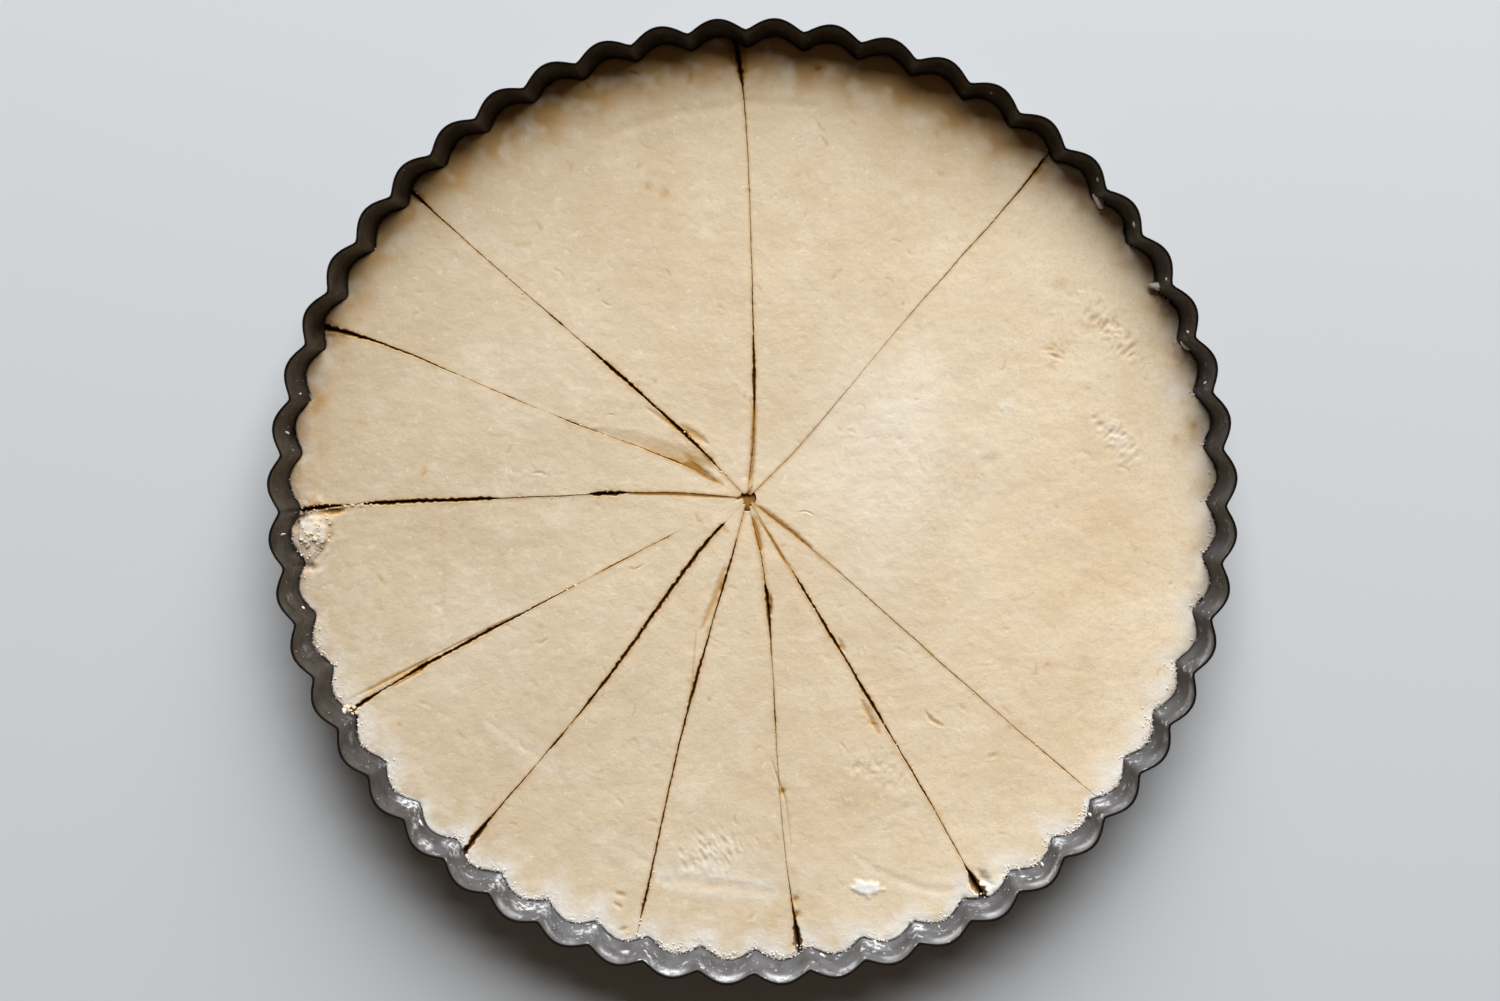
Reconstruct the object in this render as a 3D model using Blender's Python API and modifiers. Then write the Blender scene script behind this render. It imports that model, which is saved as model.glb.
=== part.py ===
"""Raw shortbread in its fluted tart tin, cut with a knife into eleven wedges.

A standalone Blender 4.5 script: blender --background --python part.py, or the text editor's Run.
Metres, +Z up, the origin at the centre of the tin's base. The tin is one pressed sheet. The round of
dough fills it part of the way up, and every knife cut goes right through, so each wedge is a solid.
"""

import math

import bmesh
import bpy
from mathutils import Matrix

# Tin
RIM_RADIUS = 0.125  # over the crests of the flutes at the rim
BASE_RADIUS = 0.1195  # over the crests of the flutes at the base
TIN_HEIGHT = 0.025
SHEET = 0.0006
FLUTES = 52
FLUTE_DEPTH = 0.0029
FLUTE_SOFTNESS = 0.12  # rounds the ridge between two flutes: 0 would be a sharp fold
FLUTE_TURN = math.radians(0.5)  # bearing of one ridge between flutes
STEPS_PER_FLUTE = 6
BASE_CORNER = 0.0012  # round between the base and the wall

# Dough
DOUGH_TOP = 0.013  # height of its upper face
DOUGH_TO_BASE = 0.0003
DOUGH_TO_WALL = 0.0005
DOUGH_EDGE_ROUND = 0.0016
EDGE_STEPS = 3

# Knife cuts
KERF = 0.0006
CUT_CENTRE = (-0.0010, 0.0018)  # where the cuts meet, a little off the tin's centre
CUT_RADII = (0.015, 0.045, 0.085, 0.118)
# Each cut's bearing in degrees round CUT_CENTRE, counterclockwise from +X, at the four CUT_RADII:
# the knife wandered, so no cut is quite straight.
CUT_BEARINGS = (
    (44.5, 48.0, 48.6, 49.0),
    (84.4, 88.1, 89.8, 91.5),
    (133.5, 135.9, 137.4, 137.6),
    (151.5, 156.3, 156.9, 158.0),
    (174.6, 179.0, 180.6, 181.7),
    (205.3, 206.9, 207.4, 208.3),
    (227.0, 231.6, 231.9, 231.4),
    (255.2, 254.2, 255.1, 255.8),
    (283.5, 278.4, 276.1, 276.5),
    (301.7, 301.3, 301.0, 300.5),
    (322.7, 320.3, 319.4, 319.4),
)
CUT_STEP = 0.015  # spacing of the points along a cut
SECTOR_RADIUS = 0.140  # a sector's outer end, clear of the dough
SECTOR_ARC_STEP = math.radians(12.0)
SECTOR_CLEARANCE = 0.005  # how far a sector reaches past the dough's two faces

STEEL_COLOUR = (0.120, 0.105, 0.095, 1.0)
DOUGH_COLOUR = (0.680, 0.570, 0.380, 1.0)


def clear_scene():
    """Removes the startup objects."""
    for obj in list(bpy.data.objects):
        bpy.data.objects.remove(obj)


def new_collection(name):
    """A collection under the scene's own."""
    collection = bpy.data.collections.new(name)
    bpy.context.scene.collection.children.link(collection)
    return collection


def new_material(name, colour, roughness, metallic):
    """A plain Principled material."""
    material = bpy.data.materials.new(name)
    material.use_nodes = True
    material.diffuse_color = colour
    shader = material.node_tree.nodes["Principled BSDF"]
    shader.inputs["Base Color"].default_value = colour
    shader.inputs["Roughness"].default_value = roughness
    shader.inputs["Metallic"].default_value = metallic
    return material


def new_object(name, mesh, collection):
    """An object that shows the mesh, in the collection."""
    obj = bpy.data.objects.new(name, mesh)
    collection.objects.link(obj)
    return obj


def mesh_from(bm, name):
    """Turns the finished bmesh into a mesh whose faces all point outwards."""
    bmesh.ops.recalc_face_normals(bm, faces=bm.faces)
    mesh = bpy.data.meshes.new(name)
    bm.to_mesh(mesh)
    bm.free()
    mesh.shade_smooth()
    mesh.set_sharp_from_angle(angle=math.radians(35.0))
    return mesh


def flute_wave(bearing):
    """1 at the crest of a flute, 0 on the soft ridge between two."""
    wave = math.sin(0.5 * FLUTES * (bearing - FLUTE_TURN))
    top = math.hypot(1.0, FLUTE_SOFTNESS) - FLUTE_SOFTNESS
    return (math.hypot(wave, FLUTE_SOFTNESS) - FLUTE_SOFTNESS) / top


def tin_radius(height):
    """Outer radius of the tin's wall over the crests, on its straight draft."""
    return BASE_RADIUS + (RIM_RADIUS - BASE_RADIUS) * height / TIN_HEIGHT


def place_loop(verts, crest_radius, height):
    """Moves a ring of points onto the fluted outline at this size and height."""
    for vert in verts:
        bearing = math.atan2(vert.co.y, vert.co.x)
        radius = crest_radius - FLUTE_DEPTH * (1.0 - flute_wave(bearing))
        vert.co = (radius * math.cos(bearing), radius * math.sin(bearing), height)


def fluted_cup(levels):
    """An open fluted cup through the levels, each (crest radius, height), with its lowest one filled.

    Returns the bmesh and the edges of its open end.
    """
    bm = bmesh.new()
    # The turn puts a point of the circle on every ridge and every crest.
    bmesh.ops.create_circle(
        bm,
        cap_ends=True,
        segments=FLUTES * STEPS_PER_FLUTE,
        radius=BASE_RADIUS,
        matrix=Matrix.Rotation(FLUTE_TURN, 4, "Z"),
    )
    place_loop(bm.verts, *levels[0])
    edges = list(bm.edges)
    for crest_radius, height in levels[1:]:
        made = bmesh.ops.extrude_edge_only(bm, edges=edges)["geom"]
        place_loop([item for item in made if isinstance(item, bmesh.types.BMVert)], crest_radius, height)
        edges = [edge for edge in made if isinstance(edge, bmesh.types.BMEdge) and edge.is_boundary]
    return bm, edges


def make_tin(collection):
    """The tin: a fluted cup of sheet steel with a flat base, open at the rim."""
    levels = (
        (BASE_RADIUS - BASE_CORNER, 0.0),
        (tin_radius(BASE_CORNER), BASE_CORNER),
        (RIM_RADIUS, TIN_HEIGHT),
    )
    bm, _ = fluted_cup(levels)
    tin = new_object("tin", mesh_from(bm, "tin"), collection)
    tin.data.materials.append(new_material("dark_tinned_steel", STEEL_COLOUR, 0.45, 0.85))
    sheet = tin.modifiers.new("sheet", "SOLIDIFY")
    sheet.thickness = SHEET
    sheet.offset = -1.0
    sheet.use_even_offset = True
    return tin


def dough_mesh():
    """The whole round of dough, fluted like the tin's inside, with a rounded upper edge."""
    inset = SHEET + DOUGH_TO_WALL
    bottom = SHEET + DOUGH_TO_BASE
    shoulder = DOUGH_TOP - DOUGH_EDGE_ROUND
    levels = [
        (BASE_RADIUS - BASE_CORNER - inset, bottom),
        (tin_radius(bottom + BASE_CORNER) - inset, bottom + BASE_CORNER),
    ]
    for step in range(EDGE_STEPS + 1):
        turn = 0.5 * math.pi * step / EDGE_STEPS
        crest_radius = tin_radius(shoulder) - inset - DOUGH_EDGE_ROUND * (1.0 - math.cos(turn))
        levels.append((crest_radius, shoulder + DOUGH_EDGE_ROUND * math.sin(turn)))
    bm, edges = fluted_cup(levels)
    bmesh.ops.edgeloop_fill(bm, edges=edges)
    return mesh_from(bm, "dough_round")


def cut_bearing(cut, radius):
    """The cut's bearing in radians at this radius: a smooth curve through its stated ones."""
    radius = min(max(radius, CUT_RADII[0]), CUT_RADII[-1])
    bearing = 0.0
    for at, stated in zip(CUT_RADII, CUT_BEARINGS[cut]):
        others = [other for other in CUT_RADII if other != at]
        weight = math.prod((radius - other) / (at - other) for other in others)
        bearing += weight * stated
    return math.radians(bearing)


def cut_side(cut, side):
    """Points along one side of the cut's kerf, from near the centre outwards. side is +1 or -1."""
    points = []
    for step in range(1, int(SECTOR_RADIUS / CUT_STEP) + 1):
        radius = step * CUT_STEP
        bearing = cut_bearing(cut, radius)
        across = side * 0.5 * KERF
        points.append((
            CUT_CENTRE[0] + radius * math.cos(bearing) - across * math.sin(bearing),
            CUT_CENTRE[1] + radius * math.sin(bearing) + across * math.cos(bearing),
        ))
    return points


def sector_outline(cut, next_cut):
    """The outline seen from above of the sector between two neighbouring cuts."""
    start = cut_bearing(cut, 0.0)
    end = cut_bearing(next_cut, 0.0)
    spread = (end - start) % (2.0 * math.pi)
    middle = start + 0.5 * spread
    tip_radius = 0.5 * KERF / math.sin(0.5 * spread)
    tip = (
        CUT_CENTRE[0] + tip_radius * math.cos(middle),
        CUT_CENTRE[1] + tip_radius * math.sin(middle),
    )
    arc_start = cut_bearing(cut, SECTOR_RADIUS)
    arc_spread = (cut_bearing(next_cut, SECTOR_RADIUS) - arc_start) % (2.0 * math.pi)
    arc_steps = math.ceil(arc_spread / SECTOR_ARC_STEP)
    arc = []
    for step in range(1, arc_steps):
        bearing = arc_start + arc_spread * step / arc_steps
        arc.append((SECTOR_RADIUS * math.cos(bearing), SECTOR_RADIUS * math.sin(bearing)))
    return [tip] + cut_side(cut, 1) + arc + cut_side(next_cut, -1)[::-1]


def make_sector(name, outline, collection):
    """An upright prism of the outline, kept out of renders: it trims the dough to one wedge."""
    bottom = SHEET + DOUGH_TO_BASE - SECTOR_CLEARANCE
    top = DOUGH_TOP + SECTOR_CLEARANCE
    bm = bmesh.new()
    face = bm.faces.new([bm.verts.new((x, y, bottom)) for x, y in outline])
    raised = bmesh.ops.extrude_face_region(bm, geom=[face])["geom"]
    raised_verts = [item for item in raised if isinstance(item, bmesh.types.BMVert)]
    bmesh.ops.translate(bm, verts=raised_verts, vec=(0.0, 0.0, top - bottom))
    sector = new_object(name, mesh_from(bm, name), collection)
    sector.hide_render = True
    sector.display_type = "WIRE"
    return sector


def make_wedges(collection, cutters):
    """One wedge of dough for each cut, lying between it and the next one counterclockwise."""
    mesh = dough_mesh()
    mesh.materials.append(new_material("raw_shortbread_dough", DOUGH_COLOUR, 0.75, 0.0))
    for cut in range(len(CUT_BEARINGS)):
        outline = sector_outline(cut, (cut + 1) % len(CUT_BEARINGS))
        wedge = new_object(f"wedge_{cut + 1:02d}", mesh, collection)
        trim = wedge.modifiers.new("knife_cuts", "BOOLEAN")
        trim.operation = "INTERSECT"
        trim.solver = "EXACT"
        trim.object = make_sector(f"sector_{cut + 1:02d}", outline, cutters)


def main():
    clear_scene()
    parts = new_collection("shortbread_in_tart_tin")
    cutters = new_collection("cutters")
    make_tin(parts)
    make_wedges(parts, cutters)


main()
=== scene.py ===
"""Raw shortbread in its fluted tart tin, cut with a knife into eleven wedges: the finished look.

Laid out as a Blender add-on and run as a script. Each operator makes one piece or one group of
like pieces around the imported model, in metres, +Z up, with the origin at the centre of the tin's base.
"""

import math
from typing import NamedTuple

import bmesh
import bpy
import numpy as np
from bpy.props import FloatProperty, FloatVectorProperty, PointerProperty
from mathutils import Matrix, Vector


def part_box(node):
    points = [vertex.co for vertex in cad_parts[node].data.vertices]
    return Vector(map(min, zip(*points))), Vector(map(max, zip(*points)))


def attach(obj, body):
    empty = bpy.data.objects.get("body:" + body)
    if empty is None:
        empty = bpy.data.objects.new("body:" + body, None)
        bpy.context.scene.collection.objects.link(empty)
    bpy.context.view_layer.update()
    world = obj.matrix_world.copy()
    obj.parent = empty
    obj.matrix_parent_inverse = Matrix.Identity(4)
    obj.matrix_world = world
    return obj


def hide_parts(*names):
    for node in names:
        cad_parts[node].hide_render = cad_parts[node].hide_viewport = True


bl_info = {
    "name": "Shortbread in a Tart Tin",
    "version": (1, 0, 0),
    "blender": (4, 5, 0),
    "location": "3D View > Sidebar > Shortbread",
    "description": "Makes a round of cut shortbread dough in its fluted tin",
    "category": "Add Mesh",
}

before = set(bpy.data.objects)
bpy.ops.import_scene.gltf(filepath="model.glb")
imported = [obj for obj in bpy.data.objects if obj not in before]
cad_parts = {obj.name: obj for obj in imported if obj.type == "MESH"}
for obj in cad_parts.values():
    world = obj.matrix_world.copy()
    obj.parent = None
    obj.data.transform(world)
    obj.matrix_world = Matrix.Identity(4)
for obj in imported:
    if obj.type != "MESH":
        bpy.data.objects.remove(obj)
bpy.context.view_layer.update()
TIN_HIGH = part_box("tin")[1]
DOUGH_LOW, DOUGH_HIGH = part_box("wedge_11")
BODY = "root"
MM = 0.001

# Tin, as it was pressed
FLUTES = 52
FLUTE_TURN = math.radians(0.5)  # bearing of the ridge between two flutes nearest the X axis
BASE_INSET = 5.5 * MM  # how much narrower the base is than the rim, in radius
CREST_PAST_BOX = 0.15 * MM  # the crests nearest the X axis stand beside it, so the box is this much narrower
FLUTE_WANDER = 0.12 * MM  # how unevenly deep the flutes are
DENT = 0.18 * MM  # how far the rim was knocked in over the years
RING_STEPS = 16  # points round each flute
CORNER_ROUND = 1.2 * MM
RIM_BAND = 0.35 * MM  # how far the blackened edge comes down the wall

# Knife cuts
CUTS = 11
CUT_CENTRE = np.array((-1.0, 1.8)) * MM  # where the cuts meet, a little off the tin's centre
CUT_STEP = 15.0 * MM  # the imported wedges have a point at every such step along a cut
CUT_LAST = 118.0 * MM  # how far out the cuts are followed
CUT_END = 5.0 * MM  # no such point is read nearer than this to the end of a cut
NEAR = 0.02 * MM  # two lengths that differ by less than this are taken as the same
# How far each cut gapes at the top: (distance from where the cuts meet, width), both in millimetres
GAPES = (
    ((4, 0.5), (20, 0.4), (45, 0.1), (75, 0.3), (100, 0.4), (110, 0.6), (115, 0.85), (118, 0.4)),
    ((4, 0.3), (10, 0.9), (20, 0.65), (32, 1.0), (43, 0.5), (60, 0.33), (80, 0.25), (105, 0.4), (112, 1.6)),
    ((4, 0.4), (16, 0.75), (25, 1.2), (33, 0.7), (49, 1.1), (60, 0.35), (64, 0.2), (67, 0.6), (75, 0.3),
     (100, 0.35), (112, 0.6), (118, 1.6)),
    ((9, 0.1), (13, 0.7), (25, 0.4), (40, 0.25), (50, 0.5), (58, 0.08), (66, 0.4), (79, 0.2), (90, 0.5),
     (106, 0.7), (118, 1.8)),
    ((4, 0.3), (19, 0.35), (32, 0.6), (34, 1.3), (40, 1.2), (42, 0.15), (49, 0.4), (58, 0.35), (65, 0.4),
     (68, 1.0), (97, 1.15), (101, 0.6), (103, 0.15), (107, 0.7), (112, 1.5), (118, 1.3)),
    ((20, 0.05), (23, 0.4), (28, 0.28), (40, 0.5), (47, 0.12), (53, 0.4), (67, 0.6), (80, 1.0), (91, 0.8),
     (97, 1.3), (102, 0.7), (109, 0.5), (114, 1.2)),
    ((8, 0.05), (10, 0.9), (20, 1.1), (40, 1.0), (61, 0.9), (70, 0.7), (76, 0.3), (82, 0.7), (88, 0.25),
     (95, 0.45), (106, 0.5), (110, 0.9), (115, 1.8), (118, 1.6)),
    ((4, 0.5), (7, 0.34), (16, 0.6), (22, 0.75), (33, 0.4), (43, 0.7), (52, 1.0), (60, 0.6), (85, 0.5),
     (104, 0.6), (112, 0.85), (115, 0.4), (118, 0.2)),
    ((4, 0.1), (8, 0.6), (20, 0.9), (30, 1.2), (36, 0.6), (46, 0.17), (58, 0.5), (64, 0.25), (80, 0.15),
     (98, 0.2), (108, 0.5), (112, 0.8), (118, 2.2)),
    ((4, 0.4), (8, 0.2), (17, 0.45), (27, 0.8), (34, 0.65), (42, 1.0), (50, 0.6), (62, 1.05), (70, 0.6),
     (78, 0.45), (90, 0.6), (97, 0.35), (105, 0.45), (112, 0.3), (115, 1.0), (118, 2.6)),
    ((4, 0.6), (17, 0.7), (30, 0.35), (70, 0.35), (90, 0.2), (109, 0.36), (118, 0.12)),
)
# Share of a stated width that is open, the rest being its lips, painted tan for torn dough and for the cut's
# shade, for widths in millimetres
OPEN_SHARES = ((0.2, 0.35), (0.45, 0.62), (0.7, 0.85), (1.0, 0.95), (2.5, 1.0))
CLOSED_GAPE = 0.03 * MM  # what is left of a closed cut
# Nearer the centre than this, in millimetres, the torn sides of each cut lean together
OPEN_FROM = (30, 26, 14, 22, 33, 18, 6, 14, 26, 27, 32)
LEANING_SHARE = 0.14  # share of a cut that stays open there
CUT_WANDER = 0.13 * MM  # sway of the knife
CHEWED, CHEWED_CELL = 0.40, 3.0 * MM  # how unevenly a cut gapes, and over what length
TORN, TORN_CELL = 0.27, 1.1 * MM  # the same for the small tears on top of that

# Wedges
TIP_RADII = (1.1, 1.2, 2.0, 1.8, 1.2, 1.3, 1.8, 3.4, 2.2, 1.5, 2.3)  # millimetres, one for each wedge
SIDE_DEPTHS = np.array((0.0, 0.3, 0.8, 1.6, 3.0, 6.0, 12.1)) * MM  # where its side has points, from the top
END_STEP, END_BAND = 0.2 * MM, 4.0 * MM  # spacing of points near both ends of a cut, and how far it holds
SIDE_BAND = 3.5 * MM  # how far the close spacing beside a cut holds
BIG_WEDGE_COARSER = 1.25  # wider spacing on the uncut quarter
TOP_SINK = 0.2 * MM  # the top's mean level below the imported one, which its swells reach
HEAVE = 0.10 * MM  # how much higher or lower a wedge lies than its neighbours
EDGE_DIP, DIP_REACH = 0.45 * MM, 1.8 * MM  # the top dips towards the dough's edge
FLUFF, FLUFF_REACH = 0.10 * MM, 2.5 * MM  # the same edge's fluffy surface
SCALLOP_SOFTNESS = 0.20  # roundness of the notch between two of the dough's scallops


class Stroke(NamedTuple):
    """A line pressed, torn or smeared along the top, in millimetres. Side 1 or -1 keeps one side of it."""

    points: tuple
    width: float
    depth: float
    tan: float = 0.0
    flour: float = 0.0
    side: int = 0


class Spot(NamedTuple):
    """An oval mark on the dough's top, in millimetres and degrees. A negative depth stands up."""

    place: tuple
    radii: tuple
    turn: float = 0.0
    depth: float = 0.0
    tan: float = 0.0
    flour: float = 0.0
    wrinkle: float = 0.0


STROKES = (
    # beside the cuts near the centre
    Stroke(((0.1, 4.6), (0.3, 9.3), (0.5, 17.0), (0.9, 27.0)), 0.7, 0.25, tan=0.75),
    Stroke(((0.2, 4.9), (-0.5, 3.0), (-4.0, 1.4)), 0.5, 0.5, tan=0.8),
    Stroke(((-18.4, 20.9), (-14.6, 18.4), (-11.4, 16.2)), 0.9, 0.4, tan=0.75),
    Stroke(((-27.7, 25.6), (-16.0, 17.8)), 0.6, 0.2, tan=0.5),
    # a scrape sloping down to the cut beside it: tan partly for torn dough and partly as painted shade on its
    # slope
    Stroke(((-9.8, 6.5), (-14.2, 8.8), (-18.8, 10.9), (-28.1, 14.6), (-42.0, 19.7)),
           7.4, 0.55, tan=0.6, side=-1),
    Stroke(((-7.2, 5.4), (-10.0, 6.9), (-14.4, 9.2)), 0.7, 0.15, tan=0.9),
    Stroke(((-12.8, 9.0), (-15.0, 11.0), (-17.5, 13.2)), 1.1, 0.15, tan=0.5),
    Stroke(((-9.8, 8.6), (-12.6, 9.6)), 0.6, -0.12, flour=0.12),
    Stroke(((-32.0, 2.9), (-20.0, 2.8), (-5.0, 1.9)), 0.5, 0.15, tan=0.8),
    Stroke(((-8.5, -5.0), (-6.0, -7.4)), 0.7, 0.25, tan=0.5),
    Stroke(((-6.9, -16.2), (-9.9, -25.4), (-13.2, -33.1)), 0.8, 0.4, tan=0.8),
    Stroke(((-14.5, -33.1), (-15.9, -49.8)), 0.3, 0.3, tan=0.5),
    Stroke(((0.6, -2.6), (1.6, -6.6), (2.8, -11.7)), 0.8, 0.2, tan=0.8),
    Stroke(((1.2, -3.0), (4.2, -7.2), (9.2, -15.6)), 0.5, 0.15, tan=0.6),
    Stroke(((5.1, -23.6), (5.0, -28.8)), 0.45, 0.8, tan=1.0),
    Stroke(((2.2, -0.2), (8.0, -4.7), (16.0, -11.2)), 0.7, 0.2, tan=0.75),
    # beside the cuts further out
    Stroke(((-60.8, -28.7), (-84.0, -40.2)), 0.35, 0.3, tan=0.4),
    Stroke(((-84.0, -40.2), (-95.0, -46.0), (-107.0, -52.2)), 0.4, 0.3, tan=1.0),
    Stroke(((-85.4, -42.9), (-94.5, -48.3)), 0.4, 0.4, tan=0.6),
    Stroke(((4.9, -66.4), (9.0, -78.0), (10.6, -91.2)), 0.3, 0.35, tan=0.4),
    Stroke(((22.9, -35.0), (24.6, -38.6)), 0.6, 0.35, tan=0.7),
    Stroke(((28.9, -51.2), (31.6, -56.6), (33.8, -60.4)), 0.8, 0.45, tan=0.85),
    Stroke(((-119.0, -2.6), (-112.0, -2.2), (-107.0, -1.4)), 0.8, 0.7, tan=0.9),
    Stroke(((-110.6, -5.5), (-110.9, -9.3), (-114.7, -14.8)), 0.7, 0.7, tan=0.6),
    # folds and creases of the pressed dough
    Stroke(((27.3, -92.5), (33.5, -96.6), (39.2, -99.1), (45.0, -101.3), (49.8, -102.2), (56.4, -100.8)),
           1.1, 0.2, tan=0.10, flour=0.15),
    Stroke(((-81.6, -3.0), (-81.2, -19.8), (-81.9, -35.7)), 1.1, 0.16, tan=0.12),
    Stroke(((-40.5, 94.6), (-20.0, 101.6), (0.0, 104.4), (17.0, 103.2)), 1.6, 0.25, tan=0.05),
    Stroke(((-70.0, -57.0), (-52.0, -70.0)), 1.0, 0.10, flour=0.15),
    Stroke(((-44.0, -86.0), (-22.0, -97.5)), 1.2, 0.08, flour=0.1),
    Stroke(((-24.0, -99.5), (-6.0, -101.0), (6.0, -103.0)), 1.6, 0.18, flour=0.3),
    Stroke(((30.0, -84.0), (44.0, -79.0)), 1.0, 0.10, flour=0.12),
    Stroke(((-99.6, 44.6), (-98.0, 30.0), (-100.0, 14.0)), 1.6, 0.14),
    Stroke(((45.7, -54.2), (47.4, -56.6), (50.6, -58.2)), 0.5, 0.4, tan=0.75),
    Stroke(((62.0, -66.5), (64.8, -65.4)), 0.5, 0.25, tan=0.35),
    Stroke(((-36.2, -103.4), (-33.2, -103.8)), 0.5, 0.6, tan=0.9),
    Stroke(((-36.4, -106.2), (-34.2, -107.2)), 0.45, 0.6, tan=0.8),
    Stroke(((-35.0, -113.8), (-33.0, -112.4)), 0.5, 0.6, tan=0.7),
)
SPOTS = (
    # crumbly lump and pits where the fifth cut meets the tin
    Spot((-115.8, -7.4), (4.2, 5.8), depth=-1.4, flour=0.45, wrinkle=0.34),
    Spot((-118.6, -3.4), (1.6, 1.4), depth=2.4, tan=1.0),
    Spot((-116.0, -16.6), (1.5, 0.7), depth=0.9, tan=0.9),
    Spot((-119.8, -5.0), (1.1, 1.6), depth=2.0, tan=0.8),
    Spot((-109.4, -1.9), (2.4, 0.8), depth=0.6, tan=0.8),
    # pits and tan specks
    Spot((8.3, -75.7), (0.8, 1.0), depth=0.5, tan=0.9),
    Spot((11.8, -104.6), (0.8, 1.1), depth=0.5, tan=0.9),
    Spot((12.2, -108.7), (0.9, 1.0), depth=0.5, tan=0.8),
    Spot((61.6, -98.8), (1.0, 2.2), turn=32, depth=0.9, tan=0.8),
    Spot((64.6, -101.6), (3.2, 3.2), depth=-0.3, flour=0.3),
    Spot((5.7, -110.0), (2.3, 2.6), tan=0.22),
    Spot((18.1, -100.6), (1.8, 1.6), tan=0.25),
    Spot((-11.0, -101.4), (2.6, 0.8), depth=0.15, tan=0.4),
    Spot((-26.8, 82.4), (0.9, 1.0), depth=0.12, tan=0.5),
    Spot((-22.4, 80.9), (1.2, 1.5), depth=0.12, tan=0.5),
    Spot((13.1, 86.7), (2.2, 1.2), tan=0.25),
    Spot((-97.6, -19.9), (1.2, 0.5), turn=-60, depth=0.15, tan=0.5),
    Spot((-81.9, -26.9), (1.4, 0.9), turn=-60, depth=0.2, tan=0.35, flour=0.3),
    Spot((-101.0, 22.5), (2.2, 2.6), tan=0.3),
    Spot((-86.0, 9.0), (1.0, 1.4), tan=0.35),
    Spot((-111.5, -2.9), (2.0, 1.2), tan=0.3),
    Spot((80.0, 58.0), (2.0, 1.6), tan=0.35),
    Spot((62.0, 12.0), (1.6, 1.2), depth=0.1, tan=0.35),
    Spot((57.5, 8.5), (2.2, 1.4), tan=0.2),
    Spot((110.5, 17.5), (1.0, 1.1), tan=0.5),
    Spot((78.0, -42.0), (2.4, 1.6), tan=0.2),
    Spot((20.0, -72.0), (6.0, 1.6), tan=0.16),
    # painted shade: the next three are tan where the tin's wall and the lumps on it shade the dough's right
    # edge
    Spot((107.4, 51.3), (3.2, 2.2), turn=-60, tan=0.65),
    Spot((111.2, 38.6), (3.4, 2.0), turn=-70, tan=0.7),
    Spot((115.3, 21.3), (1.8, 2.0), tan=0.8),
    Spot((109.7, 30.0), (3.6, 3.0), flour=0.45, wrinkle=0.12),
    # scuffed, flaky and wrinkled places
    Spot((-10.9, -92.1), (8.0, 5.0), turn=15, flour=0.35, wrinkle=0.36),
    Spot((93.4, 45.7), (11.0, 3.2), turn=-48, flour=0.1, wrinkle=0.50),
    Spot((79.5, 41.0), (4.6, 2.6), turn=60, tan=0.25, wrinkle=0.34),
    Spot((95.0, 17.6), (6.5, 3.0), turn=-55, flour=0.35, wrinkle=0.50),
    Spot((88.0, 47.5), (2.4, 1.8), tan=0.3, wrinkle=0.15),
    Spot((66.0, 26.5), (2.0, 1.6), turn=30, flour=0.45, wrinkle=0.2),
    Spot((33.0, -70.0), (7.0, 4.5), turn=-25, flour=0.1, wrinkle=0.24),
    Spot((-61.0, 7.0), (9.0, 5.0), flour=0.1, wrinkle=0.08),
    Spot((46.0, 4.0), (16.0, 20.0), wrinkle=0.06),
    Spot((26.0, -78.0), (5.0, 2.2), turn=-10, tan=0.15, wrinkle=0.16),
    # the white flake
    Spot((30.3, -101.4), (4.3, 2.1), turn=-6, depth=-0.35, flour=0.92),
    # broad floury and buttery areas
    Spot((36.0, 9.0), (26.0, 30.0), flour=0.26),
    Spot((40.0, 24.0), (14.0, 12.0), flour=0.14),
    Spot((-70.0, -32.0), (14.0, 16.0), flour=0.14),
    Spot((-60.0, 30.0), (24.0, 30.0), flour=0.08),
    Spot((2.0, -98.0), (22.0, 6.0), flour=0.16),
    Spot((88.0, -8.0), (14.0, 20.0), tan=0.13),
    Spot((74.0, -58.0), (16.0, 14.0), tan=0.07),
    Spot((10.0, 70.0), (50.0, 24.0), tan=0.05),
)
# Swells of the pressed top: (height, length, seed, layers), the first two in millimetres
SWELLS = ((0.34, 60.0, 11, 1), (0.17, 27.0, 12, 1), (0.075, 9.0, 13, 2), (0.030, 2.6, 14, 2))
CREASES, FLECKS = 120, 70  # little marks scattered over the whole top
SCATTER_REACH = 117.0  # how far out they lie, in millimetres
FLAKE = 0.9  # a spot at least this floury is a flake with a clear outline
LIP_PLACE = 1.8  # from the middle of a stroke to the lip pushed up beside it, in widths of the stroke


def scatter_marks():
    """Short creases and flecks all over the top, in no order."""
    rng = np.random.default_rng(23)
    strokes, spots = [], []
    for number in range(CREASES + FLECKS):
        radius, bearing = SCATTER_REACH * math.sqrt(rng.uniform()), rng.uniform(0.0, 2.0 * math.pi)
        x, y = radius * math.cos(bearing), radius * math.sin(bearing)
        turn = rng.normal(-0.6, 0.9)
        if number < CREASES:
            along, bend = rng.uniform(0.5, 2.4), rng.uniform(-0.5, 0.5)
            way_x, way_y = along * math.cos(turn), along * math.sin(turn)
            points = ((x - way_x, y - way_y), (x - bend * way_y, y + bend * way_x), (x + way_x, y + way_y))
            width, depth, tan = rng.uniform(0.22, 0.42), rng.uniform(0.08, 0.24), rng.uniform(0.05, 0.5)
            strokes.append(Stroke(points, width, depth, tan))
        else:
            radii = (rng.uniform(0.4, 1.3), rng.uniform(0.3, 0.8))
            spots.append(Spot((x, y), radii, math.degrees(turn), depth=0.08, tan=rng.uniform(0.1, 0.45)))
    return tuple(strokes), tuple(spots)


SCATTERED_STROKES, SCATTERED_SPOTS = scatter_marks()

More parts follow.
